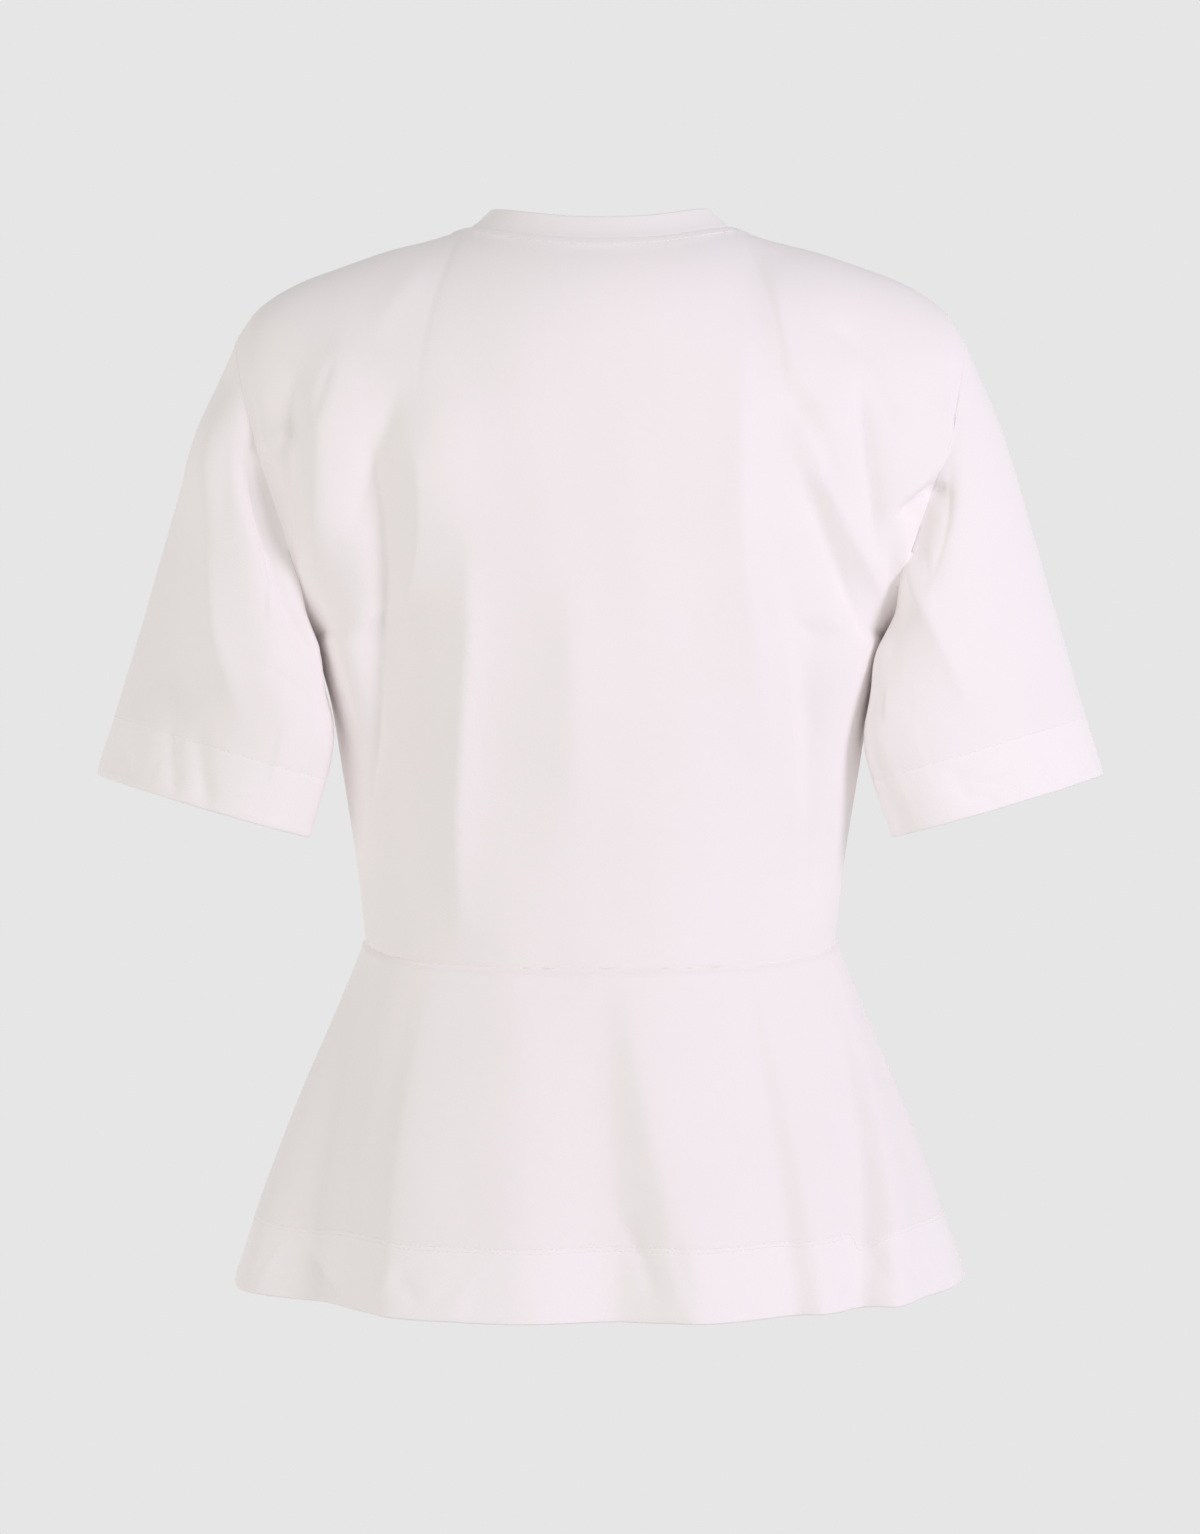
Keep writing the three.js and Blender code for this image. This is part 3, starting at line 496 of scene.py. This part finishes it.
FRONT_FOLDS = [
    dict(name="left chest drag", left=12, right=9, edge=4, out=-4,
         path=[(158, -60), (162, -120), (152, -185)]),
    dict(name="left armhole crease", left=6, right=6, edge=2, out=-3,
         path=[(196, -105), (184, -150), (170, -190)]),
    dict(name="left side hollow", left=10, right=15, edge=3, out=-4.5,
         path=[(110, -270), (114, -330), (121, -392)]),
    dict(name="left bust roll", left=9, right=14, edge=5, out=3,
         path=[(150, -225), (118, -246), (88, -264)]),
    dict(name="left waist roll", left=14, right=11, edge=5, out=2.2,
         path=[(64, -300), (62, -350), (66, -398)]),
    dict(name="right chest drag", left=9, right=12, edge=4, out=-4,
         path=[(-156, -66), (-160, -124), (-147, -182)]),
    dict(name="right armhole crease", left=6, right=6, edge=2, out=-3,
         path=[(-197, -98), (-187, -142), (-171, -186)]),
    dict(name="right side hollow", left=14, right=10, edge=3, out=-4.5,
         path=[(-104, -290), (-108, -345), (-117, -398)]),
    dict(name="right bust roll", left=14, right=9, edge=5, out=3,
         path=[(-152, -232), (-124, -248), (-96, -260)]),
    dict(name="right waist roll", left=11, right=13, edge=5, out=1.8,
         path=[(-42, -310), (-46, -355), (-44, -400)]),
    dict(name="left sleeve hollow", left=10, right=13, edge=3, out=-4,
         path=[(232, -150), (236, -210), (240, -290)]),
    dict(name="left inner sleeve roll", left=10, right=9, edge=3, out=3,
         path=[(198, -190), (196, -240), (204, -310)]),
    dict(name="right sleeve hollow", left=12, right=10, edge=3, out=-4,
         path=[(-222, -160), (-228, -230), (-224, -310)]),
    dict(name="right inner sleeve roll", left=9, right=10, edge=3, out=3,
         path=[(-190, -200), (-192, -250), (-198, -305)]),
]
DRIFT = [  # slow waves across the whole cloth
    dict(run_x=0.072, run_z=0.021, turn=0.4, out=0.22),
    dict(run_x=0.115, run_z=-0.013, turn=2.1, out=0.16),
    dict(run_x=0.049, run_z=0.064, turn=4.0, out=0.2),
    dict(run_x=-0.141, run_z=0.037, turn=5.3, out=0.1),
]
RINGS = {"left_sleeve", "right_sleeve", "neckband"}
cut = {
    "back_bodice": back_bodice,
    "front_bodice": front_bodice,
    "left_sleeve": left_sleeve,
    "right_sleeve": right_sleeve,
    "neckband": band,
    "back_peplum": back_peplum,
    "front_peplum": front_peplum,
}


def normals_of(grid, ring):
    if ring:
        across = np.roll(grid, -1, axis=1) - np.roll(grid, 1, axis=1)
    else:
        across = np.gradient(grid, axis=1)
    return unit(np.cross(across, np.gradient(grid, axis=0)))


def filled_angle(grid, ring, r, c):
    """The angle that a piece fills round a point, so that a corner counts for less at a seam."""
    rows, columns = grid.shape[:2]
    sides = [(r, c + 1), (r + 1, c), (r, c - 1), (r - 1, c)]
    arms = []
    for row, column in sides:
        column = column % columns if ring else column
        inside = 0 <= row < rows and 0 <= column < columns
        arms.append(unit(grid[row, column] - grid[r, c]) if inside else None)
    total = 0
    for one, other in zip(arms, arms[1:] + arms[:1]):
        if one is not None and other is not None:
            total += math.acos(max(-1, min(1, float(one @ other))))
    return total


def edge_places(grid, ring):
    rows, columns = grid.shape[:2]
    places = [(r, c) for r in (0, rows - 1) for c in range(columns)]
    if not ring:
        places += [(r, c) for r in range(1, rows - 1) for c in (0, columns - 1)]
    return places


def sewn_normals(grids):
    """Normals of every piece, alike on both sides of a seam, where its points lie within 0.01 mm."""
    normals = {name: normals_of(grid, name in RINGS) for name, grid in grids.items()}
    shared = {}
    at_edge = {}
    for name, grid in grids.items():
        at_edge[name] = edge_places(grid, name in RINGS)
        for r, c in at_edge[name]:
            key = tuple(np.round(grid[r, c] * 100).astype(int))
            weight = filled_angle(grid, name in RINGS, r, c)
            shared.setdefault(key, []).append((name, r, c, normals[name][r, c] * weight))
    for members in shared.values():
        mean = unit(sum(member[3] for member in members))
        for name, r, c, _ in members:
            normals[name][r, c] = mean
    return normals


def smooth_path(path):
    """The points of a fold, joined by a smooth line."""
    knots = np.arange(len(path), dtype=float)
    table = [dict(k=k, x=x, z=z) for k, (x, z) in zip(knots, path)]
    at = np.linspace(0, len(path) - 1, (len(path) - 1) * FOLD_STEPS + 1)
    return np.stack([read_table(table, "k", "x", at), read_table(table, "k", "z", at)], axis=-1)


def fold_height(points, folds, facing):
    """How far the folds move the points of one face, front or back."""
    depth = points[..., 1] * facing
    nearer = SEEN_FROM["distance"] / (SEEN_FROM["distance"] - np.maximum(depth, 0))
    x = points[..., 0] * nearer
    z = SEEN_FROM["height"] + (points[..., 2] - SEEN_FROM["height"]) * nearer
    out = np.zeros(x.shape)
    for fold in folds:
        line = smooth_path(fold["path"])
        run = np.diff(line, axis=0)
        length = np.linalg.norm(run, axis=-1)
        reach = FOLD_REACH["widths"] * max(fold["left"], fold["right"])
        reach += FOLD_REACH["lengths"] * length.sum()
        low, high = line.min(axis=0) - reach, line.max(axis=0) + reach
        near = (x > low[0]) & (x < high[0]) & (z > low[1]) & (z < high[1]) & (depth > 0)
        px, pz = x[near], z[near]
        best = np.full(px.shape, np.inf)
        aside = np.zeros(px.shape)
        along = np.zeros(px.shape)
        done = 0.0
        for k in range(len(run)):
            dx, dz = px - line[k, 0], pz - line[k, 1]
            s = (dx * run[k, 0] + dz * run[k, 1]) / length[k] ** 2
            before_start = FOLD_RUNS_ON["start"] if k == 0 else 0
            past_end = FOLD_RUNS_ON["end"] if k == len(run) - 1 else 1
            held = np.clip(s, before_start, past_end)
            away = np.hypot(dx - held * run[k, 0], dz - held * run[k, 1])
            closer = away < best
            best = np.where(closer, away, best)
            cross = (dx * run[k, 1] - dz * run[k, 0]) / length[k]
            aside = np.where(closer, np.sign(cross) * away, aside)
            along = np.where(closer, done + held * length[k], along)
            done += length[k]
        share = along / done
        none, full = FOLD_ENDS["none"], FOLD_ENDS["full"]
        ends = smoothstep(share, none, full) * smoothstep(1 - share, none, full)
        width = np.where(aside > 0, fold["right"], fold["left"])
        away = np.sqrt(aside**2 + fold["edge"] ** 2) - fold["edge"]
        out[near] += fold["out"] * np.exp(-away / width) * ends
    for wave in DRIFT:
        out += wave["out"] * np.sin(wave["run_x"] * x + wave["run_z"] * z + wave["turn"])
    return out * smoothstep(depth, 0, FOLD_FADE)


def draw_folds(grids):
    normals = sewn_normals(grids)
    folded = {}
    for name, grid in grids.items():
        height = fold_height(grid, BACK_FOLDS, 1) + fold_height(grid, FRONT_FOLDS, -1)
        folded[name] = grid + normals[name] * height[..., None]
    return folded


folded = draw_folds(cut)

# Seams and hems
# The edges are turned in at the seams, which leaves a shallow groove, and the hems and cuffs are held
# by rows of stitches that pull the cloth into small puckers. Below the neckline the seam's turning
# is stitched down as a raised strip.
GROOVE = dict(wide=2.2, deep=0.4)
DEEPER = dict(shoulder=0.6, waist=1.5, neck=2)  # these seams' grooves, in the groove's depths
STRIP = dict(wide=8.4, high=0.8, rise=1.6, soft=0.4, stitched=7, clear=2)
STITCH_GROOVE = dict(half=0.8, deep=0.14)
WAIST_RIDGE = dict(below=3.6, half=1.6, high=1.0)  # the seam's turning, pressed down inside
CUFF = dict(rows=(CUFF_DEPTH,), puckers=16, tall=0.8)
HEM = dict(rows=(37.2, 39.6), puckers=34, tall=1.0)
ABOVE_STITCHES = 14  # how far puckers reach above a hem's stitches, where they are a third as tall
ABOVE_WAIST = dict(count=34, low=3, high=16, tall=0.3)
BELOW_WAIST = dict(count=30, low=3, high=18, tall=0.3)
PUCKER = dict(spread=0.45, width=(2.2, 5.5), lean=9, out=(-1, 0.8), start=0.5, before=3, after=5)
NEAR_NECK = 40  # the rows of a bodice panel that come near the neckline
FAR = 99.0
CLOSER = 4  # the parts that each step of the neckline is cut into, to measure from it
chance = np.random.default_rng(37)


def run_from_first(grid):
    """The distance of every point from the first row of its piece, along the cloth."""
    steps = np.linalg.norm(np.diff(grid, axis=0), axis=-1)
    return np.concatenate([np.zeros((1, grid.shape[1])), np.cumsum(steps, axis=0)])


def run_from_last(grid):
    return run_from_first(grid[::-1])[::-1]


def run_across(grid):
    return run_from_first(grid.transpose(1, 0, 2)).T


def turned_in(distance):
    return -GROOVE["deep"] * np.maximum(0, 1 - distance / GROOVE["wide"]) ** 2


def stitched_line(distance):
    return -STITCH_GROOVE["deep"] * np.exp(-((distance / STITCH_GROOVE["half"]) ** 2))


def distance_to_line(points, line):
    """The distance of every point from a line of points."""
    share = np.linspace(0, 1, CLOSER, endpoint=False)[:, None, None]
    dense = (line[:-1] + (line[1:] - line[:-1]) * share).transpose(1, 0, 2).reshape(-1, 3)
    return np.array([np.linalg.norm(row[:, None] - dense[None], axis=-1).min(axis=-1) for row in points])


def puckers(across, depth, count, low, high, tall):
    """Small uneven ripples across a band of cloth, from one depth to another."""
    length = across.max()
    height = np.zeros(across.shape)
    spread = PUCKER["spread"]
    places = (np.arange(count) + chance.uniform(-spread, spread, count)) / count * length
    share = (depth - low) / (high - low)
    for place in places:
        width = chance.uniform(*PUCKER["width"])
        lean = chance.uniform(-PUCKER["lean"], PUCKER["lean"])
        out = tall * chance.uniform(*PUCKER["out"])
        start = low + chance.uniform(0, PUCKER["start"]) * (high - low)
        away = across - place - lean * share
        held = smoothstep(depth, low - PUCKER["before"], low + PUCKER["after"])
        held = held * smoothstep(-depth, -high, -start)
        height += out * np.exp(-((away / width) ** 2)) * held
    return height


def neck_line(panel):
    first = round((1 - NECK_SHARE) / 2 * COLUMNS) + len(SEAM_ROWS)
    return panel[-1, first : panel.shape[1] - first]


def bodice_finish(panel):
    across = run_across(panel)
    down, up = run_from_last(panel), run_from_first(panel)
    side = np.minimum(across, across[:, -1:] - across)
    near_neck = np.full(panel.shape[:2], FAR)
    near_neck[-NEAR_NECK:] = distance_to_line(panel[-NEAR_NECK:], neck_line(panel))
    strip = smoothstep(STRIP["wide"] - near_neck, -STRIP["soft"], STRIP["soft"])
    raised = STRIP["high"] * strip * smoothstep(near_neck, 0, STRIP["rise"])
    clear = smoothstep(near_neck, STRIP["clear"], STRIP["wide"]) * smoothstep(side, 0, GROOVE["wide"])
    height = turned_in(side) + turned_in(up) * DEEPER["waist"]
    height += turned_in(down) * clear * DEEPER["shoulder"] + turned_in(near_neck) * DEEPER["neck"]
    height += raised + stitched_line(near_neck - STRIP["stitched"])
    height += puckers(across, up, **ABOVE_WAIST)
    return height, near_neck


def hem_finish(piece, ring, hem):
    up, down = run_from_first(piece), run_from_last(piece)
    across = run_across(piece)
    first, last, tall = hem["rows"][0], hem["rows"][-1], hem["tall"]
    height = sum(stitched_line(up - row) for row in hem["rows"])
    height += turned_in(down) * (1 if ring else DEEPER["waist"])
    height += puckers(across, up, hem["puckers"], 1, first, tall)
    height += puckers(across, up, hem["puckers"], last, last + ABOVE_STITCHES, tall / 3)
    if ring:
        closing = np.linalg.norm(piece[:, 0] - piece[:, -1], axis=-1)[:, None]
        side = np.minimum(across, across[:, -1:] + closing - across)
        seam = turned_in(side) * smoothstep(down, 0, GROOVE["wide"])
    else:
        side = np.minimum(across, across[:, -1:] - across)
        height += puckers(across, down, **BELOW_WAIST)
        from_ridge = (down - WAIST_RIDGE["below"]) / WAIST_RIDGE["half"]
        height += WAIST_RIDGE["high"] * np.exp(-(from_ridge**2))
        seam = turned_in(side)
    return height + seam, up


heights = {}
fields = {}
for name in ("back_bodice", "front_bodice"):
    heights[name], fields[name] = bodice_finish(folded[name])
for name in ("left_sleeve", "right_sleeve"):
    heights[name], fields[name] = hem_finish(folded[name], True, CUFF)
for name in ("back_peplum", "front_peplum"):
    heights[name], fields[name] = hem_finish(folded[name], False, HEM)
heights["neckband"] = turned_in(run_from_first(folded["neckband"])) * DEEPER["neck"]
before = sewn_normals(folded)
pieces = {name: grid + before[name] * heights[name][..., None] for name, grid in folded.items()}
normals = sewn_normals(pieces)

# Cutting the walls
# Every piece is a wall of matt white jersey with edges of its own, which lie close to its neighbours at
# the seams. Hems and cuffs are two layers with a round fold, and look a little whiter for it.
SEAM_GAP = 0.01
SHARPEST_OPENING = 0.4  # keeps a corner's point from running far inside the piece
ROUND_FOLD = (45, 90, 135)  # the degrees at which a folded edge has its rows
SHARP_EDGE = 60  # in degrees, past which an edge of the wall isn't shaded as round
HEM_SOFT = 0.6
JERSEY_DARKER = (0.915, 0.885, 0.878, 1)
JERSEY_LIGHTER = (0.938, 0.908, 0.902, 1)
JERSEY_DOUBLED = (0.945, 0.917, 0.911, 1)


def draw_back(grid, normal, ring):
    """A piece with its edges drawn back from its seams, by half the gap."""
    rows, columns = grid.shape[:2]
    bottom = [(0, c) for c in range(columns)]
    top = [(rows - 1, columns - 1 - c) for c in range(columns)]
    right = [(r, columns - 1) for r in range(1, rows - 1)]
    left = [(rows - 1 - r, 0) for r in range(1, rows - 1)]
    loops = [bottom, top] if ring else [bottom + right + top + left]
    moved = grid.copy()
    for loop in loops:
        index = tuple(np.array(loop).T)
        points, outward = grid[index], normal[index]
        run = np.roll(points, -1, axis=0) - points
        inward = unit(np.cross(outward + np.roll(outward, -1, axis=0), run))
        before = np.roll(inward, 1, axis=0)
        opening = np.maximum(1 + np.sum(before * inward, axis=-1, keepdims=True), SHARPEST_OPENING)
        moved[index] += (before + inward) / opening * (SEAM_GAP / 2)
    return moved


def add_mesh(name, mesh_name, verts, faces, layers):
    """Adds a mesh of the jersey. Its layers say where it is two layers of cloth, from 0 to 1."""
    mesh = bpy.data.meshes.new(mesh_name)
    mesh.from_pydata((np.concatenate(verts) * MM).tolist(), [], faces)
    mesh.polygons.foreach_set("use_smooth", np.ones(len(faces), bool))
    mesh.validate()
    shown = mesh.attributes.new("layers", "FLOAT", "POINT")
    shown.data.foreach_set("value", layers.astype(np.float32))
    mesh.materials.append(jersey)
    added = bpy.data.objects.new(name, mesh)
    bpy.context.scene.collection.objects.link(added)
    return added


def cloth_wall(name, thickness, doubled, rounded):
    """A mesh of the piece: its outer face, its inner face, and its edges, rounded where folded."""
    grid, normal, ring = pieces[name], normals[name], name in RINGS
    outer = draw_back(grid, normal, ring)
    inner = outer - normal * thickness[..., None]
    rows, columns = grid.shape[:2]
    verts = [outer.reshape(-1, 3), inner.reshape(-1, 3)]
    inside = rows * columns
    total = 2 * inside
    faces = []
    spans = columns if ring else columns - 1
    c = np.arange(spans)
    nxt = (c + 1) % columns
    for r in range(rows - 1):
        a, b = r * columns + c, r * columns + nxt
        d, e = b + columns, a + columns
        faces.append(np.stack([a, b, d, e], axis=-1))
        faces.append(np.stack([inside + a, inside + e, inside + d, inside + b], axis=-1))
    for end, row in (("bottom", 0), ("top", rows - 1)):
        a, b = row * columns + c, row * columns + nxt
        if end == "top":
            a, b = b, a
        strip = [(a, b)]
        if end in rounded:
            step = 1 if end == "bottom" else -1
            out_way = unit(outer[row] - outer[row + step])
            middle = (outer[row] + inner[row]) / 2
            half = (outer[row] - inner[row]) / 2
            radius = np.linalg.norm(half, axis=-1, keepdims=True)
            for angle in ROUND_FOLD:
                turn = math.radians(angle)
                verts.append(middle + half * math.cos(turn) + out_way * radius * math.sin(turn))
                base = total - row * columns
                strip.append((base + a, base + b))
                total += columns
        strip.append((inside + a, inside + b))
        for (a0, b0), (a1, b1) in zip(strip, strip[1:]):
            faces.append(np.stack([a0, a1, b1, b0], axis=-1))
    if not ring:
        r = np.arange(rows - 1)
        for column, flip in ((0, True), (columns - 1, False)):
            a, e = r * columns + column, (r + 1) * columns + column
            if flip:
                a, e = e, a
            faces.append(np.stack([a, inside + a, inside + e, e], axis=-1))
    layers = np.ones(total)
    layers[: 2 * inside] = np.tile(doubled.reshape(-1), 2)
    piece = add_mesh(name + "_cloth", name, verts, np.concatenate(faces).tolist(), layers)
    piece.data.set_sharp_from_angle(angle=math.radians(SHARP_EDGE))
    return piece


def set_inputs(tree, node, inputs):
    """Sets a node's inputs to values, or links them where they are other nodes' outputs."""
    for name, value in inputs.items():
        if isinstance(value, bpy.types.NodeSocket):
            tree.links.new(value, node.inputs[name])
        else:
            node.inputs[name].default_value = value


def add_node(tree, kind, inputs, blend=None):
    node = tree.nodes.new("ShaderNode" + kind)
    if blend:
        node.data_type, node.blend_type = "RGBA", blend
    set_inputs(tree, node, inputs)
    return node.outputs


def jersey_material():
    """White cotton jersey: matt, faintly napped and blotched, and very finely uneven as knits are."""
    material = bpy.data.materials.new("white_jersey")
    material.use_nodes = True
    tree = material.node_tree
    place = add_node(tree, "TexCoord", {})["Object"]
    layers = tree.nodes.new("ShaderNodeAttribute")
    layers.attribute_name = "layers"
    blotch = add_node(tree, "TexNoise", {"Vector": place, "Scale": 18, "Detail": 3})["Fac"]
    tint = {"Factor": blotch, "A": JERSEY_DARKER, "B": JERSEY_LIGHTER}
    single = add_node(tree, "Mix", tint, "MIX")["Result"]
    whiter = {"Factor": layers.outputs["Fac"], "A": single, "B": JERSEY_DOUBLED}
    fuzz = add_node(tree, "TexNoise", {"Vector": place, "Scale": 900, "Detail": 2})["Fac"]
    bump = {"Height": fuzz, "Strength": 0.25, "Distance": 0.0004}
    shader = {
        "Base Color": add_node(tree, "Mix", whiter, "MIX")["Result"],
        "Normal": add_node(tree, "Bump", bump)["Normal"],
        "Roughness": 0.9,
        "Specular IOR Level": 0.25,
        "Sheen Weight": 0.12,
        "Sheen Roughness": 0.5,
    }
    set_inputs(tree, tree.nodes["Principled BSDF"], shader)
    return material


def layered(row):
    """Where a piece is two layers of cloth, from 0 to 1."""
    if row["node"] == "neckband":
        return np.ones(pieces["neckband"].shape[:2])
    return smoothstep(row["doubled"] - fields[row["node"]], -row["soft"], row["soft"])


def bodice_piece(node):
    return dict(node=node, cloth=CLOTH, more=0, doubled=STRIP["wide"], soft=STRIP["soft"], rounded=())


def hemmed_piece(node, depth):
    more = HEM_CLOTH - CLOTH
    return dict(node=node, cloth=CLOTH, more=more, doubled=depth, soft=HEM_SOFT, rounded=("bottom",))


jersey = jersey_material()
PIECES = [
    bodice_piece("back_bodice"),
    bodice_piece("front_bodice"),
    hemmed_piece("left_sleeve", CUFF_DEPTH),
    hemmed_piece("right_sleeve", CUFF_DEPTH),
    dict(node="neckband", cloth=BAND_CLOTH, more=0, rounded=("top",)),
    hemmed_piece("back_peplum", HEM_DEPTH),
    hemmed_piece("front_peplum", HEM_DEPTH),
]
for row in PIECES:
    node, grid = row["node"], pieces[row["node"]]
    doubled = layered(row)
    piece = cloth_wall(node, row["cloth"] + row["more"] * doubled, doubled, row["rounded"])
    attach(piece, "root")
    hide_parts(node)

# Stitches
# Cotton thread in the colour of the cloth, in small even stitches: two rows round the peplum hem, one
# round each cuff, and one along the strip below the neckline.
STITCH = dict(pitch=2.8, length=2.1, radius=0.24, sides=6, lift=0.05)
STITCH_RINGS = [(-0.5, 0.3), (-0.34, 1), (0.34, 1), (0.5, 0.3)]  # places along it, and its swell there
AT_EDGE = 0.5  # a distance field that starts below this starts on the edge itself


def line_at(name, level):
    """The line on a piece where its distance field reaches a level, one point a column."""
    grid, field = pieces[name], fields[name]
    if field[0].mean() > field[-1].mean():
        grid, field = grid[::-1], field[::-1]
    columns = np.arange(field.shape[1])
    above = np.argmax(field > level, axis=0)
    columns = columns[(above > 0) & (field[0] < AT_EDGE)]
    above = above[columns]
    low, high = field[above - 1, columns], field[above, columns]
    share = ((level - low) / (high - low))[:, None]
    at = grid[above - 1, columns] * (1 - share) + grid[above, columns] * share
    facing = normals[name] if grid is pieces[name] else normals[name][::-1]
    return at, facing[above, columns]


def along_line(run, values, at):
    return np.stack([np.interp(at, run, values[:, k]) for k in range(3)], axis=-1)


def stitches(name, lines):
    """Rows of stitches in one mesh, each stitch a short thread that is thinner at its two ends."""
    verts, faces = [], []
    sides = STITCH["sides"]
    turn = np.arange(sides) * 2 * math.pi / sides
    for points, facing in lines:
        run = np.concatenate([[0], np.cumsum(np.linalg.norm(np.diff(points, axis=0), axis=-1))])
        places = np.arange(STITCH["pitch"] / 2, run[-1] - STITCH["length"], STITCH["pitch"])
        for place in places:
            ends = along_line(run, points, np.array([place, place + STITCH["length"]]))
            out = unit(along_line(run, facing, np.array([place])))[0]
            along = unit(ends[1] - ends[0])
            aside = np.cross(out, along)
            middle = ends.mean(axis=0) + out * STITCH["lift"]
            circle = np.outer(np.cos(turn), out) + np.outer(np.sin(turn), aside)
            first = len(verts) * sides
            for step, swell in STITCH_RINGS:
                verts.append(middle + along * step * STITCH["length"] + circle * (STITCH["radius"] * swell))
            last = (len(verts) - 1) * sides
            for ring in range(first, last, sides):
                for j in range(sides):
                    a, b = ring + j, ring + (j + 1) % sides
                    faces.append([a, b, b + sides, a + sides])
            faces.append([first + j for j in range(sides)][::-1])
            faces.append([last + j for j in range(sides)])
    row = add_mesh(name, name, verts, faces, np.ones(len(verts) * sides))
    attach(row, "root")


for side in ("back", "front"):
    stitches(side + "_hem_stitches", [line_at(side + "_peplum", row) for row in HEM["rows"]])
    stitches(side + "_neck_stitches", [line_at(side + "_bodice", STRIP["stitched"])])
for side in ("left", "right"):
    stitches(side + "_cuff_stitches", [line_at(side + "_sleeve", row) for row in CUFF["rows"]])

# Floor, light and camera
# The top hangs level with the camera in a pale room. The stronger lamp is cool and stands to the right
# of the picture, a wide warm one fills in from the left, and the room behind the camera is dimmer.
FLOOR = dict(z=-1.3, radius=1.9, sides=96, colour=(0.8, 0.8, 0.8, 1), roughness=0.95)
CAMERA_AWAY = SEEN_FROM["distance"] * MM
CAMERA_ASIDE = 0.0003
PICTURE_HEIGHT = 0.8744
AIM = (0, 0, -0.3)
LAMPS = [
    dict(name="key", place=(-2.0, 1.8, 0.45), size=0.9, watts=28.5, colour=(0.96, 0.87, 1.03)),
    dict(name="left fill", place=(1.9, 1.9, -0.1), size=2.0, watts=14.3, colour=(0.99, 0.92, 0.88)),
    dict(name="front fill", place=(1.2, -2.4, 0.0), size=1.8, watts=8, colour=(1.0, 0.95, 0.97)),
]
ROOM_SHADES = [  # from the room's floor to its ceiling
    dict(up=0.0, grey=0.72),
    dict(up=0.34, grey=0.791),
    dict(up=0.62, grey=0.791),
    dict(up=0.9, grey=0.46),
]
DIMMER = dict(colour=(0.78, 0.77, 0.755, 1), begins=0.1, full=0.5)  # behind the camera
BOUNCES = 12  # the light passes often between sleeve and side


def pale_floor():
    bpy.ops.mesh.primitive_circle_add(
        vertices=FLOOR["sides"], radius=FLOOR["radius"], fill_type="NGON", location=(0, 0, FLOOR["z"])
    )
    floor = bpy.context.object
    floor.name = "floor"
    material = bpy.data.materials.new("pale_floor")
    material.use_nodes = True
    shader = material.node_tree.nodes["Principled BSDF"]
    look = {"Base Color": FLOOR["colour"], "Roughness": FLOOR["roughness"]}
    set_inputs(material.node_tree, shader, look)
    floor.data.materials.append(material)


def soft_lamp(name, place, size, watts, colour):
    light = bpy.data.lights.new(name, "AREA")
    light.shape = "DISK"
    light.size = size
    light.energy = watts
    light.color = colour
    lamp = bpy.data.objects.new(name, light)
    bpy.context.scene.collection.objects.link(lamp)
    lamp.location = place
    aim = np.array(AIM) - np.array(place)
    yaw = math.atan2(aim[0], -aim[1])
    pitch = math.atan2(np.hypot(aim[0], aim[1]), -aim[2])
    lamp.rotation_euler = (pitch, 0, yaw + math.pi)


def pale_room():
    world = bpy.data.worlds.new("room")
    world.use_nodes = True
    tree = world.node_tree
    way = add_node(tree, "TexCoord", {})["Generated"]
    parts = add_node(tree, "SeparateXYZ", {"Vector": way})
    upward = add_node(tree, "MapRange", {"Value": parts["Z"], "From Min": -1})["Result"]
    shade = tree.nodes.new("ShaderNodeValToRGB")
    set_inputs(tree, shade, {"Fac": upward})
    marks = shade.color_ramp.elements
    for k, row in enumerate(ROOM_SHADES):
        mark = marks[k] if k < len(marks) else marks.new(row["up"])
        mark.position = row["up"]
        mark.color = (row["grey"], row["grey"], row["grey"], 1)
    reach = {"Value": parts["Y"], "From Min": DIMMER["begins"], "From Max": DIMMER["full"]}
    behind = add_node(tree, "MapRange", reach)["Result"]
    dimmed = {"Factor": behind, "A": shade.outputs["Color"], "B": DIMMER["colour"]}
    dimmer = add_node(tree, "Mix", dimmed, "MULTIPLY")["Result"]
    set_inputs(tree, tree.nodes["Background"], {"Color": dimmer})
    bpy.context.scene.world = world


pale_floor()
for lamp in LAMPS:
    soft_lamp(**lamp)
pale_room()
bpy.context.scene.cycles.diffuse_bounces = BOUNCES
bpy.context.scene.view_settings.view_transform = "Standard"

camera = bpy.data.cameras.new("camera")
camera.sensor_width = 36
camera.lens = 36 * CAMERA_AWAY / PICTURE_HEIGHT
eye = bpy.data.objects.new("camera", camera)
bpy.context.scene.collection.objects.link(eye)
eye.location = (CAMERA_ASIDE, CAMERA_AWAY, SEEN_FROM["height"] * MM)
eye.rotation_euler = (math.pi / 2, 0, math.pi)
bpy.context.scene.camera = eye
